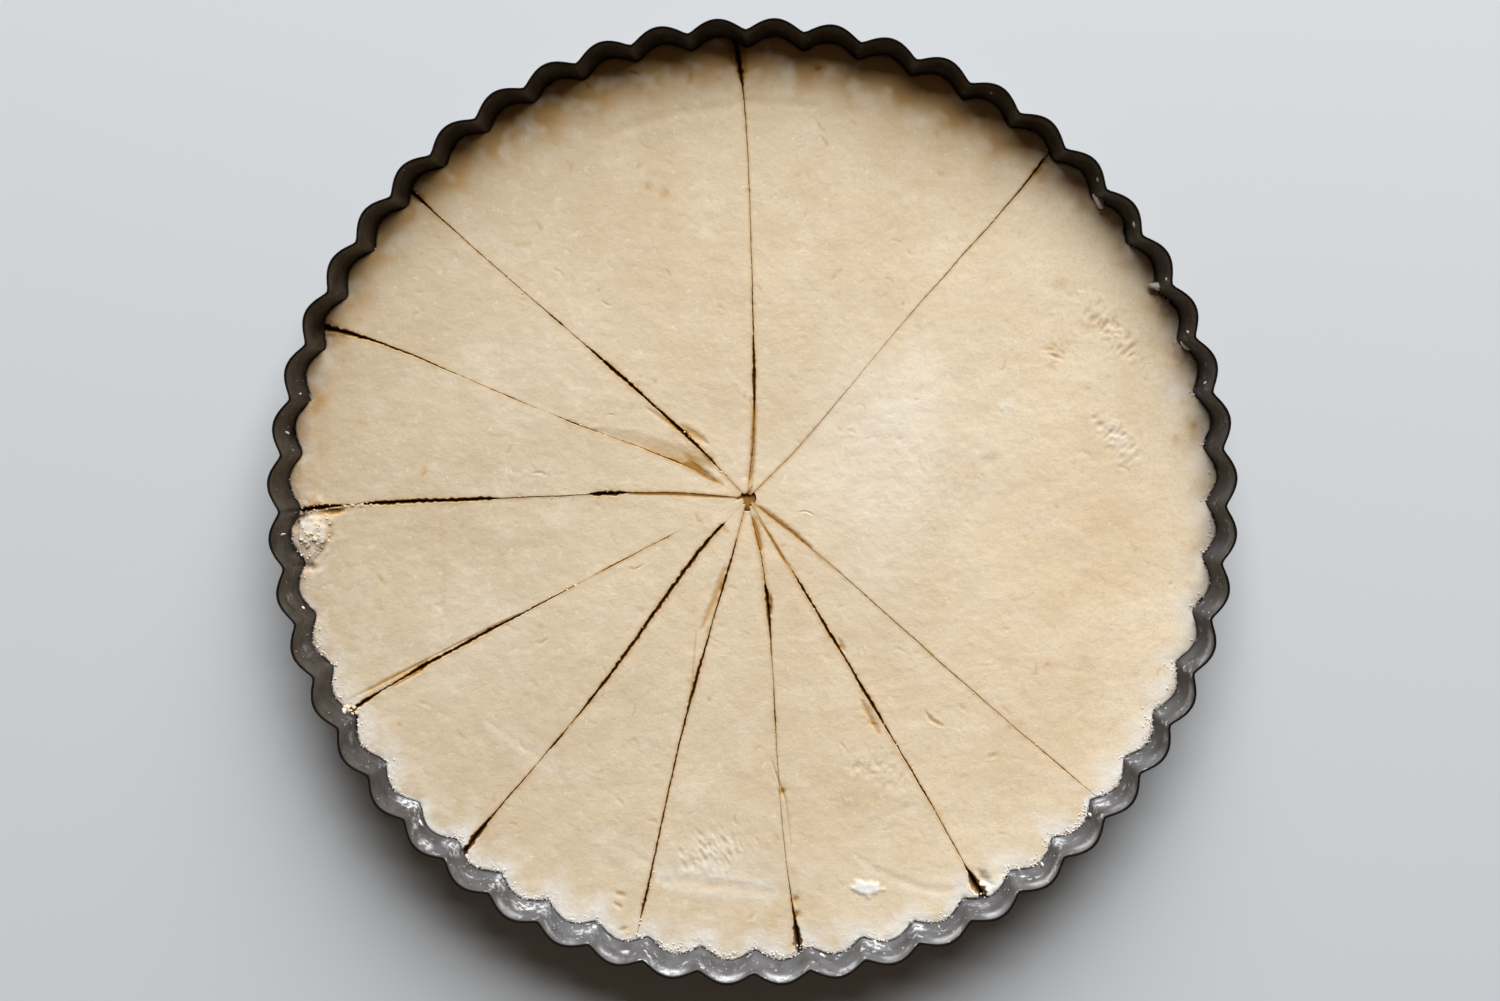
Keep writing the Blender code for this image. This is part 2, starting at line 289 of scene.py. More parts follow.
# Share of the floury band along the dough's edge, by bearing in degrees
EDGE_FLOUR = (
    (0, 0.6), (20, 0.5), (45, 0.3), (70, 0.0), (120, 0.0), (150, 0.1), (175, 0.3), (200, 0.6),
    (225, 1.0), (320, 1.0), (345, 0.75), (360, 0.6),
)
# Share of tan painted along the same edge as shade, strongest where the tin's wall shades the dough, and how
# far in it reaches in millimetres: (bearing, share, reach)
EDGE_PAINTED_SHADE = (
    (0, 0.6, 4.0), (15, 0.9, 4.0), (40, 1.1, 5.0), (62, 1.9, 8.0), (118, 1.9, 8.0), (150, 1.2, 5.0),
    (185, 1.1, 4.5), (203, 0.6, 2.6), (225, 0.0, 2.5), (325, 0.0, 2.5), (345, 0.5, 4.0), (360, 0.6, 4.0),
)
# How floury the tin's inner wall is, by bearing in degrees
WALL_FLOUR = (
    (0, 0.55), (20, 0.4), (50, 0.0), (155, 0.0), (185, 0.0), (205, 0.16), (228, 0.65), (250, 1.0),
    (310, 1.0), (340, 1.0), (360, 0.6),
)
ARC_HEIGHT, ARC_SPREAD = 22.2 * MM, 1.2 * MM  # where a pale arc runs across each flute just below the rim: flour, and a painted highlight


class TinSettings(bpy.types.PropertyGroup):
    """The fluted tin."""

    flute_depth: FloatProperty(
        name="Flute Depth", description="How deep each flute is", default=2.9 * MM, unit="LENGTH")
    flute_softness: FloatProperty(
        name="Ridge Softness", description="Roundness of the ridge between two flutes", default=0.12)
    sheet: FloatProperty(name="Sheet", description="Thickness of the steel", default=0.6 * MM, unit="LENGTH")
    steel: FloatVectorProperty(
        name="Steel", description="Darkened tinned steel", subtype="COLOR", default=(0.072, 0.065, 0.059))
    tarnish: FloatVectorProperty(
        name="Tarnish", description="Brown-black patches", subtype="COLOR", default=(0.030, 0.021, 0.015))
    film: FloatVectorProperty(
        name="Flour Film", description="Thin flour on it", subtype="COLOR", default=(0.112, 0.112, 0.119))
    smear: FloatVectorProperty(
        name="Flour Smear", description="Thick flour on it", subtype="COLOR", default=(0.56, 0.58, 0.60))
    edge: FloatVectorProperty(
        name="Cut Edge", description="Its blackened rim", subtype="COLOR", default=(0.008, 0.006, 0.005))


class DoughSettings(bpy.types.PropertyGroup):
    """The round of dough and what lies on it."""

    gap_to_wall: FloatProperty(
        name="Gap to Wall", description="Space between dough and tin", default=0.03 * MM, unit="LENGTH")
    edge_round: FloatProperty(
        name="Edge Round", description="Rounding of the outer edge", default=0.7 * MM, unit="LENGTH")
    coarse_step: FloatProperty(
        name="Point Spacing", description="Spacing of points on the top", default=0.5 * MM, unit="LENGTH")
    fine_step: FloatProperty(
        name="Spacing at Cuts", description="Spacing of points along a cut", default=0.14 * MM, unit="LENGTH")
    dough: FloatVectorProperty(
        name="Dough", description="Raw butter dough", subtype="COLOR", default=(0.74, 0.62, 0.445))
    deep: FloatVectorProperty(
        name="Dough Tone", description="Its deeper patches", subtype="COLOR", default=(0.66, 0.53, 0.355))
    # this tan is also the colour of painted shade along the dough's edge, at the cuts' lips and walls
    tan: FloatVectorProperty(
        name="Torn Dough", description="Torn and pitted places", subtype="COLOR", default=(0.42, 0.235, 0.06))
    flour: FloatVectorProperty(
        name="Flour", description="Dusting flour", subtype="COLOR", default=(0.75, 0.75, 0.73))


class StageSettings(bpy.types.PropertyGroup):
    """Floor, lights and camera."""

    floor: FloatVectorProperty(
        name="Floor", description="Plain pale floor", subtype="COLOR", default=(0.505, 0.53, 0.555))
    key_power: FloatProperty(name="Key", description="Power of the large soft light in watts", default=236.0)
    low_power: FloatProperty(name="Low", description="Power of the low near light in watts", default=0.6)
    fill: FloatProperty(name="Fill", description="Strength of the surrounding light", default=0.070)
    lens: FloatProperty(name="Lens", description="Focal length in millimetres", default=65.4)


# ---------------------------------------------------------------- shapes shared by the pieces


def smooth(share):
    """0 to 1 with level ends."""
    share = np.clip(share, 0.0, 1.0)
    return share * share * (3.0 - 2.0 * share)


NOISE_TABLE = 256  # random slopes, a power of 2


def lattice_noise(x, y, cell, seed):
    """Smooth noise from about -1 to 1: every corner of a square lattice holds a random slope."""
    rng = np.random.default_rng(seed)
    slopes = rng.uniform(0.0, 2.0 * math.pi, NOISE_TABLE)
    order, wrap = rng.permutation(NOISE_TABLE), NOISE_TABLE - 1
    across, along = np.asarray(x) / cell, np.asarray(y) / cell
    column, row = np.floor(across).astype(int), np.floor(along).astype(int)
    across, along = across - column, along - row
    fade_x = across ** 3 * (across * (across * 6.0 - 15.0) + 10.0)
    fade_y = along ** 3 * (along * (along * 6.0 - 15.0) + 10.0)
    total = 0.0
    for step_x, weight_x in ((0, 1.0 - fade_x), (1, fade_x)):
        for step_y, weight_y in ((0, 1.0 - fade_y), (1, fade_y)):
            slope = slopes[order[(order[(column + step_x) & wrap] + row + step_y) & wrap]]
            rise = np.cos(slope) * (across - step_x) + np.sin(slope) * (along - step_y)
            total = total + weight_x * weight_y * rise
    return 1.5 * total


def line_noise(along, cell, seed):
    """The same smooth noise along a line."""
    return lattice_noise(along, along * 0.0, cell, seed)


def layered_noise(x, y, cell, seed, layers=3):
    """Noise with finer and fainter layers on top of the first."""
    return sum(0.5 ** layer * lattice_noise(x, y, cell * 0.47 ** layer, seed + 31 * layer)
               for layer in range(layers))


def round_noise(bearing, cell, seed, layers=1, radius=120.0):
    """Noise around a circle, which closes on itself. Its radius and cell are in millimetres."""
    return layered_noise(radius * np.cos(bearing), radius * np.sin(bearing), cell, seed, layers)


def graded_shares(length, fine, coarse, band):
    """Shares 0 to 1 of a length, in coarse steps that shrink to fine ones within a band at each end."""
    at = np.linspace(0.0, length, 3000)
    step = fine + (coarse - fine) * smooth(np.minimum(at, length - at) / band)
    count = np.concatenate([[0.0], np.cumsum(np.diff(at) / (0.5 * (step[1:] + step[:-1])))])
    return np.interp(np.linspace(0.0, count[-1], round(count[-1]) + 1), count, at) / length


def flute_wave(bearing, softness):
    """1 at the crest of a flute, 0 on the soft ridge between two."""
    wave = np.abs(np.sin(0.5 * FLUTES * (bearing - FLUTE_TURN)))
    return (np.hypot(wave, softness) - softness) / (math.hypot(1.0, softness) - softness)


def crest_radius(height):
    """Outer radius of the tin over the crests of its flutes, on its straight draft."""
    return TIN_HIGH.x + CREST_PAST_BOX - BASE_INSET * (1.0 - height / TIN_HIGH.z)


def wall_radius(height, wave, tin):
    """Inner radius of the tin's wall, where the flutes' wave is this high."""
    return crest_radius(height) - tin.flute_depth * (1.0 - wave) - tin.sheet


def polar(bearing, radius):
    """Points at a bearing and a distance from where the cuts meet."""
    return CUT_CENTRE[0] + radius * np.cos(bearing), CUT_CENTRE[1] + radius * np.sin(bearing)


def keep_attribute(mesh, name, values):
    """Stores one number for each point, for the materials to read."""
    mesh.attributes.new(name, "FLOAT", "POINT").data.foreach_set("value", np.asarray(values, np.float32))


def mesh_points(mesh):
    """The mesh's points as an array."""
    points = np.empty(len(mesh.vertices) * 3, np.float32)
    mesh.vertices.foreach_get("co", points)
    return points.reshape(-1, 3).astype(float)


def mesh_of(bm, name):
    """Turns the finished bmesh into a mesh."""
    mesh = bpy.data.meshes.new(name)
    bm.to_mesh(mesh)
    bm.free()
    return mesh


def add_piece(name, mesh, material, stands_for=()):
    """Shows the mesh as a piece of the object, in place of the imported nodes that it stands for."""
    mesh.materials.append(material)
    mesh.shade_smooth()
    piece = bpy.data.objects.new(name, mesh)
    bpy.context.scene.collection.objects.link(piece)
    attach(piece, BODY)
    if stands_for:
        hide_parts(*stands_for)
    return piece


# ---------------------------------------------------------------- knife cuts


class Cut:
    """One knife cut: its line, and how far it gapes, against the distance from where the cuts meet."""

    def __init__(self, number, radii, bearings):
        self.number = number
        self.line = np.polyfit(radii, bearings, 3)
        self.radii = (radii[0], CUT_LAST)
        self.gape = np.array(GAPES[number], float) * MM

    def bearing(self, radius):
        """The cut's bearing, with the small wander of a hand-held knife."""
        steady = np.polyval(self.line, np.clip(radius, *self.radii))
        sway = line_noise(radius, 9.0 * MM, 500 + self.number)
        return steady + CUT_WANDER * sway / np.maximum(radius, 5.0 * MM)

    def width(self, radius):
        """Its stated width at the top."""
        return np.interp(radius, self.gape[:, 0], self.gape[:, 1])

    def leaning(self, radius):
        """1 where its torn sides lean together near the centre, 0 further out."""
        return 1.0 - smooth((radius / MM - OPEN_FROM[self.number]) / 5.0 + 1.0)

    def half_gape(self, radius, depth, side):
        """Half its width on one side, ragged at the top and narrower further down."""
        seed = 700 + 10 * self.number + side
        width = self.width(radius)
        chewed = np.interp(width / MM, *np.array(OPEN_SHARES).T)
        chewed = chewed * (1.0 + CHEWED * line_noise(radius, CHEWED_CELL, seed))
        chewed = chewed * (1.0 - (1.0 - LEANING_SHARE) * self.leaning(radius))
        torn = TORN * (width + 0.1 * MM) * line_noise(radius, TORN_CELL, seed + 3)
        closed = 0.5 * CLOSED_GAPE
        top = np.maximum(0.5 * width * chewed + torn, closed)
        deeper = 1.0 + (1.0 - self.leaning(radius)) * smooth((width / MM - 0.25) / 0.3)
        closes_at = (0.08 * MM + 0.75 * width) * deeper
        return closed + (top - closed) * np.exp(-(depth / closes_at) ** 1.3)


def wedge_sides(number):
    """(distance, bearing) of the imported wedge's points along its first and its last side."""
    points = mesh_points(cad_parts[f"wedge_{number + 1:02d}"].data)
    top = points[points[:, 2] > points[:, 2].max() - NEAR, :2] - CUT_CENTRE
    middle = math.atan2(*np.mean(top / np.hypot(*top.T)[:, None], axis=0)[::-1])
    radius = np.hypot(*top.T)
    turned = (np.arctan2(top[:, 1], top[:, 0]) - middle + math.pi) % (2.0 * math.pi) - math.pi
    first, last = [], []
    for step in range(1, int((CUT_LAST - CUT_END) / CUT_STEP) + 1):
        at = turned[np.abs(radius - step * CUT_STEP) < NEAR]
        first.append((step * CUT_STEP, at.min() + middle))
        last.append((step * CUT_STEP, at.max() + middle))
    return np.array(first), np.array(last)


def read_cuts():
    """The cuts, each midway between the facing sides of its two packed wedges."""
    sides = [wedge_sides(number) for number in range(CUTS)]
    cuts = []
    for number in range(CUTS):
        ahead, behind = sides[number][0], sides[number - 1][1]
        apart = (behind[:, 1] - ahead[:, 1] + math.pi) % (2.0 * math.pi) - math.pi
        bearings = np.unwrap(ahead[:, 1] + 0.5 * apart) % (2.0 * math.pi)
        cuts.append(Cut(number, ahead[:, 0], bearings))
    return cuts


# ---------------------------------------------------------------- the dough's top


def along_stroke(x, y, points):
    """Signed distance from a line of points, positive on its left, and the share of its length."""
    points = np.array(points, float)
    runs = np.hypot(*np.diff(points, axis=0).T)
    reach = np.concatenate([[0.0], np.cumsum(runs)])
    nearest = np.full(x.shape, np.inf)
    signed, share = np.zeros(x.shape), np.zeros(x.shape)
    for index, run in enumerate(runs):
        start = points[index]
        way = (points[index + 1] - start) / run
        forward = np.clip((x - start[0]) * way[0] + (y - start[1]) * way[1], 0.0, run)
        off_x, off_y = x - start[0] - forward * way[0], y - start[1] - forward * way[1]
        away = np.hypot(off_x, off_y)
        closer = away < nearest
        nearest = np.where(closer, away, nearest)
        signed = np.where(closer, np.copysign(away, way[0] * off_y - way[1] * off_x), signed)
        share = np.where(closer, (reach[index] + forward) / reach[-1], share)
    return signed, share


def press_stroke(x, y, stroke, marks):
    """Adds one stroke to the height and colour marks: a groove, or a scrape on one side of its line."""
    ragged = 1.0 + 0.35 * lattice_noise(x, y, 1.3, 41) + 0.2 * lattice_noise(x, y, 0.6, 42)
    away, share = along_stroke(x, y, stroke.points)
    taper = np.sqrt(np.clip(4.0 * share * (1.0 - share), 0.0, 1.0))
    width = stroke.width * (0.35 + 0.65 * taper) * ragged
    if stroke.side:
        fade = smooth(share / 0.10) * (1.0 - share)
        streaks = 1.0 + 0.6 * lattice_noise(0.35 * x + 0.8 * y, 0.1 * x, 1.2, 43)
        reach = stroke.width * fade ** 0.5 * (0.7 + 0.3 * ragged)
        body = np.clip(1.0 - stroke.side * away / np.maximum(reach, 0.05), 0.0, 1.0)
        body = np.where(stroke.side * away < 0.0, 0.0, body)
        marks["height"] -= stroke.depth * smooth(body) * (0.3 + 0.7 * fade)
        # tan on the scrape's slope: torn dough, and painted shade
        marks["tan"] += stroke.tan * smooth(2.2 * body) * fade * streaks
        return
    body = np.exp(-(away / width) ** 2) * (0.4 + 0.6 * taper)
    lip = np.exp(-((np.abs(away) - LIP_PLACE * width) / width) ** 2)
    marks["height"] -= stroke.depth * (0.6 * body - 0.08 * lip * taper)
    marks["tan"] += stroke.tan * body
    marks["flour"] += stroke.flour * (lip + 0.4 * body)


def press_spot(x, y, spot, marks):
    """Adds one spot to the height and colour marks."""
    turn = math.radians(spot.turn)
    off_x, off_y = x - spot.place[0], y - spot.place[1]
    across = (off_x * math.cos(turn) + off_y * math.sin(turn)) / spot.radii[0]
    along = (off_y * math.cos(turn) - off_x * math.sin(turn)) / spot.radii[1]
    size = min(spot.radii)
    edge = 0.3 * layered_noise(x, y, max(1.2, 0.8 * size), 61, 2)
    reach = np.hypot(across, along) * (1.0 + edge) + 0.4 * edge
    body = np.exp(-reach ** 2) if spot.flour < FLAKE else smooth(2.6 - 2.4 * reach)
    marks["height"] -= spot.depth * body
    marks["tan"] += spot.tan * body
    marks["flour"] += spot.flour * body
    if spot.wrinkle:
        ripples = np.abs(lattice_noise(across * spot.radii[0], along * spot.radii[1] * 0.4, 1.5, 71))
        flakes = np.abs(lattice_noise(x, y, 1.3, 72))
        marks["height"] += spot.wrinkle * body * (0.6 - 1.9 * ripples - 0.7 * flakes)
        # painted shade: tan laid in the wrinkles' furrows, where the surface dips
        marks["tan"] += 1.2 * spot.wrinkle * body * smooth((ripples - 0.25) / 0.3)


def mark_top(x, y):
    """Height and colour marks of the pressed dough at points given in millimetres."""
    marks = {name: np.zeros(x.shape) for name in ("height", "tan", "flour")}
    for height, length, seed, layers in SWELLS:
        marks["height"] += height * layered_noise(x, y, length, seed, layers)
    for stroke in STROKES + SCATTERED_STROKES:
        reach = 2.5 * stroke.width + 1.0
        low, high = np.min(stroke.points, axis=0) - reach, np.max(stroke.points, axis=0) + reach
        near = (x > low[0]) & (x < high[0]) & (y > low[1]) & (y < high[1])
        add_marks(press_stroke, x, y, near, stroke, marks)
    for spot in SPOTS + SCATTERED_SPOTS:
        near = np.hypot(x - spot.place[0], y - spot.place[1]) < 2.6 * max(spot.radii)
        add_marks(press_spot, x, y, near, spot, marks)
    return marks


def add_marks(press, x, y, near, mark, marks):
    """Applies one mark to the points near it only."""
    if near.any():
        part = {name: values[near] for name, values in marks.items()}
        press(x[near], y[near], mark, part)
        for name, values in part.items():
            marks[name][near] = values


# ---------------------------------------------------------------- wedges


def dough_radius(bearing, height, settings):
    """Radius of the dough's side round the tin's axis: softer than the flutes, and clear of the wall."""
    tin = bpy.context.scene.shortbread_tin
    slack = np.maximum(0.0, 0.6 * round_noise(bearing, 13.0, 21) - 0.22)
    bite = np.maximum(0.0, 1.4 * round_noise(bearing, 4.5, 22) - 0.62)
    fray = np.abs(0.12 * round_noise(bearing, 2.0, 23, layers=3))
    gap = settings.gap_to_wall + (slack + bite + fray) * MM
    return wall_radius(height, flute_wave(bearing, SCALLOP_SOFTNESS), tin) - gap


def wedge_cage(rows, columns):
    """A flat box of points, rows along X and columns along Y, whose sides go down one unit a level."""
    bm = bmesh.new()
    bmesh.ops.create_grid(bm, x_segments=rows, y_segments=columns, size=1.0)
    edges = [edge for edge in bm.edges if edge.is_boundary]
    for _ in SIDE_DEPTHS[1:]:
        made = bmesh.ops.extrude_edge_only(bm, edges=edges)["geom"]
        verts = [item for item in made if isinstance(item, bmesh.types.BMVert)]
        bmesh.ops.translate(bm, verts=verts, vec=(0.0, 0.0, -1.0))
        edges = [item for item in made if isinstance(item, bmesh.types.BMEdge) and item.is_boundary]
    bmesh.ops.edgeloop_fill(bm, edges=edges)
    bmesh.ops.recalc_face_normals(bm, faces=bm.faces)
    return bm


def bearing_across(first, last, radius, share, depth):
    """Bearings at a share of the way from one cut to the next, and the arc's length there."""
    low = first.bearing(radius) + first.half_gape(radius, depth, 1) / radius
    high = last.bearing(radius) - last.half_gape(radius, depth, -1) / radius
    spread = (high - low + 0.5) % (2.0 * math.pi) - 0.5
    spread = np.maximum(spread, 0.1 * MM / radius)
    return low + share * spread, spread * radius


def rim_distances(first, last, shares, depth, settings):
    """How far the dough reaches from where the cuts meet, for each column, at this depth."""
    top = DOUGH_HIGH.z - settings.edge_round
    height = max(top - depth * top / SIDE_DEPTHS[-1], DOUGH_LOW.z)
    distance = np.full(shares.shape, CUT_LAST)
    for _ in range(8):
        bearing, _ = bearing_across(first, last, distance, shares, depth)
        x, y = polar(bearing, distance)
        distance = distance + dough_radius(np.arctan2(y, x), height, settings) - np.hypot(x, y)
    return distance


def corner_drop(away, radius):
    """How far a rounded corner lies below the flat, this far in from the side."""
    inside = np.clip(radius - away, 0.0, radius)
    return radius - np.sqrt(np.maximum(radius * radius - inside * inside, 0.0))


def edge_dip(to_rim):
    """How far the top dips this far in from the dough's edge."""
    return EDGE_DIP * np.exp(-to_rim / DIP_REACH)


def cut_lips(cut, away, radius, x, y):
    """How far the top is rounded off this far from a cut, and how much tan its lip gets: torn dough, and
    painted shade beside the cut.
    """
    width, lean = cut.width(radius), cut.leaning(radius)
    patchy = 0.75 + 0.6 * lattice_noise(x / MM, y / MM, 2.2, 81)
    lip_width = 0.28 * MM + 0.35 * width * (1.0 + 0.6 * lean)
    lips = np.exp(-(away / lip_width) ** 1.5) * smooth(width / (0.3 * MM)) * (0.9 + 0.1 * lean)
    return corner_drop(away, 0.03 * MM + 0.12 * width), np.clip(patchy + 0.4 * lean, 0.15, 1.0) * lips


def floury_share(degrees, to_rim, x, y):
    """How floury the dough is towards its edge."""
    band = np.interp(degrees, *np.array(EDGE_FLOUR).T)
    reach = (4.6 + 4.2 * layered_noise(x / MM, y / MM, 9.0, 34, 2)) * MM
    return 0.9 * band * np.exp(-(to_rim / np.maximum(reach, 0.8 * MM)) ** 2)


def painted_edge_shade_share(degrees, to_rim, x, y):
    """How much tan is painted there as shade, in patches."""
    bearings, shares, reaches = np.array(EDGE_PAINTED_SHADE).T
    reach = np.interp(degrees, bearings, reaches) * MM
    painted_edge_shade = np.interp(degrees, bearings, shares) * np.exp(-(to_rim / reach) ** 1.5)
    return np.minimum(painted_edge_shade * smooth(0.72 + 0.7 * layered_noise(x / MM, y / MM, 6.0, 35, 2)), 0.82)


def shape_wedge(mesh, cage, cuts, number, settings):
    """Moves the cage's points to the wedge between two cuts and marks its surface."""
    row_shares, column_shares = cage
    last_row, last_column = len(row_shares) - 1, len(column_shares) - 1
    points = mesh_points(mesh)
    row = np.rint(0.5 * (points[:, 0] + 1.0) * last_row).astype(int)
    column = np.rint(0.5 * (points[:, 1] + 1.0) * last_column).astype(int)
    level = np.rint(-points[:, 2]).astype(int)
    depth, share = SIDE_DEPTHS[level], column_shares[column]
    first, last = cuts[number], cuts[(number + 1) % CUTS]
    rims = np.array([rim_distances(first, last, column_shares, down, settings) for down in SIDE_DEPTHS])
    tip, rim = TIP_RADII[number] * MM, rims[level, column]
    radius = tip + (rim - tip) * row_shares[row]
    bearing, arc = bearing_across(first, last, radius, share, depth)
    x, y = polar(bearing, radius)
    around, to_rim = np.arctan2(y, x), rim - radius
    marks = mark_top(x / MM, y / MM)
    # the lips' tan: partly torn dough, partly painted shade of the cut
    drop, raw = cut_lips(first, share * arc, radius, x, y)
    more_drop, more_raw = cut_lips(last, (1.0 - share) * arc, radius, x, y)
    edge_round = settings.edge_round * (1.0 + 0.3 * round_noise(around, 7.0, 31))
    drop = drop + more_drop + corner_drop(to_rim, edge_round) + edge_dip(to_rim)
    fluff = FLUFF * layered_noise(x / MM, y / MM, 0.9, 33, 2) * np.exp(-to_rim / FLUFF_REACH)
    heave = HEAVE * math.sin(2.4 * number + 1.0)
    top = DOUGH_HIGH.z - TOP_SINK + heave + marks["height"] * MM + fluff - drop
    sink = depth / SIDE_DEPTHS[-1]
    z = top + (DOUGH_LOW.z - top) * sink
    mesh.vertices.foreach_set("co", np.stack([x, y, z], axis=1).astype(np.float32).ravel())
    mesh.update()
    degrees, on_top = np.degrees(around) % 360.0, level == 0
    floury = np.clip(marks["flour"] + floury_share(degrees, to_rim, x, y), 0.0, 1.0) * on_top
    # painted shade: a share that grows from right to left across the round and darkens the dough there, as if
    # less light fell on that side
    leftwards = 0.5 - 0.5 * (0.97 * x - 0.05 * y) / DOUGH_HIGH.x
    # painted shade: tan along the dough's edge where the tin's wall shades it
    painted_edge_shade = painted_edge_shade_share(degrees, to_rim, x, y) * on_top
    wide = np.where(share < 0.5, first.width(radius), last.width(radius))
    # painted shade: the walls inside a cut get the full torn share, which the material darkens further; wide
    # cuts a little less
    on_cut = (level > 0) & ((column == 0) | (column == last_column) | (row == 0))
    inside = (1.0 - 0.2 * smooth((wide / MM - 1.5) / 0.8)) * on_cut
    # torn dough tan, with the painted shade of the cuts' lips, of the dough's edge and of the cut walls
    torn = np.maximum(marks["tan"] + 0.8 * np.minimum(raw + more_raw, 1.0) + painted_edge_shade, inside)
    keep_attribute(mesh, "flour_dust", floury)
    keep_attribute(mesh, "painted_left_shade", np.clip(leftwards, 0.0, 1.0))
    keep_attribute(mesh, "torn_dough_and_painted_shade", np.clip(torn, 0.0, 1.0))


def make_wedge(number, cuts, settings, material):
    """One wedge of dough between two neighbouring cuts."""
    first, last = cuts[number], cuts[(number + 1) % CUTS]
    _, arc = bearing_across(first, last, np.array(CUT_LAST), 1.0, 0.0)
    coarse = settings.coarse_step * (BIG_WEDGE_COARSER if arc > CUT_LAST else 1.0)
    rows = graded_shares(CUT_LAST, END_STEP, 0.9 * settings.coarse_step, END_BAND)
    columns = graded_shares(float(arc), settings.fine_step, coarse, SIDE_BAND)
    mesh = mesh_of(wedge_cage(len(rows) - 1, len(columns) - 1), f"dough_wedge_{number + 1:02d}")
    shape_wedge(mesh, (rows, columns), cuts, number, settings)
    return add_piece(mesh.name, mesh, material, [f"wedge_{number + 1:02d}"])


# ---------------------------------------------------------------- tin


def quarter():
    """Four turns from 0 to a right angle."""
    return np.linspace(0.0, 0.5 * math.pi, 4)


def tin_profile(tin):
    """(inset from the crest radius, height) from the base's outer edge, over the rim, to its inner edge."""
    low = [(CORNER_ROUND * (1.0 - math.sin(turn)), CORNER_ROUND * (1.0 - math.cos(turn)))
           for turn in quarter()]
    half = 0.5 * tin.sheet
    top = TIN_HIGH.z - half
    outside = [(0.0, height) for height in np.linspace(CORNER_ROUND, top - RIM_BAND, 10)[1:]] + [(0.0, top)]
    rim = [(half * (1.0 - math.cos(turn)), top + half * math.sin(turn))
           for turn in np.linspace(0.0, math.pi, 7)[1:]]
    inside = [(tin.sheet, height) for height in np.linspace(top - RIM_BAND, tin.sheet + CORNER_ROUND, 18)]
    inner = [(tin.sheet + CORNER_ROUND * (1.0 - math.cos(turn)),
              tin.sheet + CORNER_ROUND * (1.0 - math.sin(turn))) for turn in quarter()[1:]]
    return low + outside + rim + inside + inner


def place_ring(verts, inset, height, tin):
    """Moves a ring of points onto the fluted outline."""
    points = np.array([vert.co[:2] for vert in verts])
    bearing = np.arctan2(points[:, 1], points[:, 0])
    depth = tin.flute_depth + FLUTE_WANDER * round_noise(bearing, 3.0, 91, radius=40.0)
    dent = DENT * round_noise(bearing, 35.0, 92, radius=90.0) * height / TIN_HIGH.z
    wave = flute_wave(bearing, tin.flute_softness)
    radius = crest_radius(height) - inset - depth * (1.0 - wave) + np.minimum(dent, 0.0)
    for vert, angle, reach in zip(verts, bearing, radius):
        vert.co = (reach * math.cos(angle), reach * math.sin(angle), height)


def tin_mesh(tin):
    """The pressed tin: one sheet, with its fluted wall, rounded edge and flat base."""
    profile = tin_profile(tin)
    bm = bmesh.new()
    bmesh.ops.create_circle(bm, cap_ends=True, segments=FLUTES * RING_STEPS, radius=0.1,
                            matrix=Matrix.Rotation(FLUTE_TURN, 4, "Z"))
    place_ring(list(bm.verts), *profile[0], tin)
    edges = list(bm.edges)
    for inset, height in profile[1:]:
        made = bmesh.ops.extrude_edge_only(bm, edges=edges)["geom"]
        place_ring([item for item in made if isinstance(item, bmesh.types.BMVert)], inset, height, tin)
        edges = [item for item in made if isinstance(item, bmesh.types.BMEdge) and item.is_boundary]
    bmesh.ops.edgeloop_fill(bm, edges=edges)
    bmesh.ops.recalc_face_normals(bm, faces=bm.faces)
    return mesh_of(bm, "fluted_tin")


def make_tin(tin, material):
    """The tin, with flour and a painted highlight arc marked on the inside of its wall and its edge marked
    all round.
    """
    mesh = tin_mesh(tin)
    x, y, z = mesh_points(mesh).T
    bearing, radius = np.arctan2(y, x), np.hypot(x, y)
    wave = flute_wave(bearing, tin.flute_softness)
    outline = crest_radius(z) - tin.flute_depth * (1.0 - wave)
    inner = smooth((outline - radius - 0.25 * tin.sheet) / (0.4 * tin.sheet))
    shown = inner * smooth((z - DOUGH_HIGH.z + 3.0 * MM) / (2.0 * MM))
    dusty = np.interp(np.degrees(bearing) % 360.0, *np.array(WALL_FLOUR).T)
    arc = np.exp(-((z - ARC_HEIGHT) / ARC_SPREAD) ** 2) * smooth((wave - 0.35) / 0.4)
    smears = np.zeros(len(z))
    for place, height, long, high, strength in WALL_SMEARS:
        turned = (bearing - math.radians(place) + math.pi) % (2.0 * math.pi) - math.pi
        off = np.hypot(turned * radius / (long * MM), (z - height * MM) / (high * MM))
        smears = np.maximum(smears, strength * smooth(1.6 - off))
    rim_low = TIN_HIGH.z - 0.5 * tin.sheet - RIM_BAND
    keep_attribute(mesh, "flour_film", shown * dusty)
    keep_attribute(mesh, "flour_and_highlight_arc", inner * arc * smooth(1.6 * dusty - 0.6))
    keep_attribute(mesh, "ridge", 1.0 - smooth(wave / 0.35))
    keep_attribute(mesh, "smears", shown * smears)
    keep_attribute(mesh, "rim_edge", smooth((z - rim_low) / RIM_BAND))
    return add_piece("fluted_tin", mesh, material, ["tin"])


# ---------------------------------------------------------------- crumbs and flour


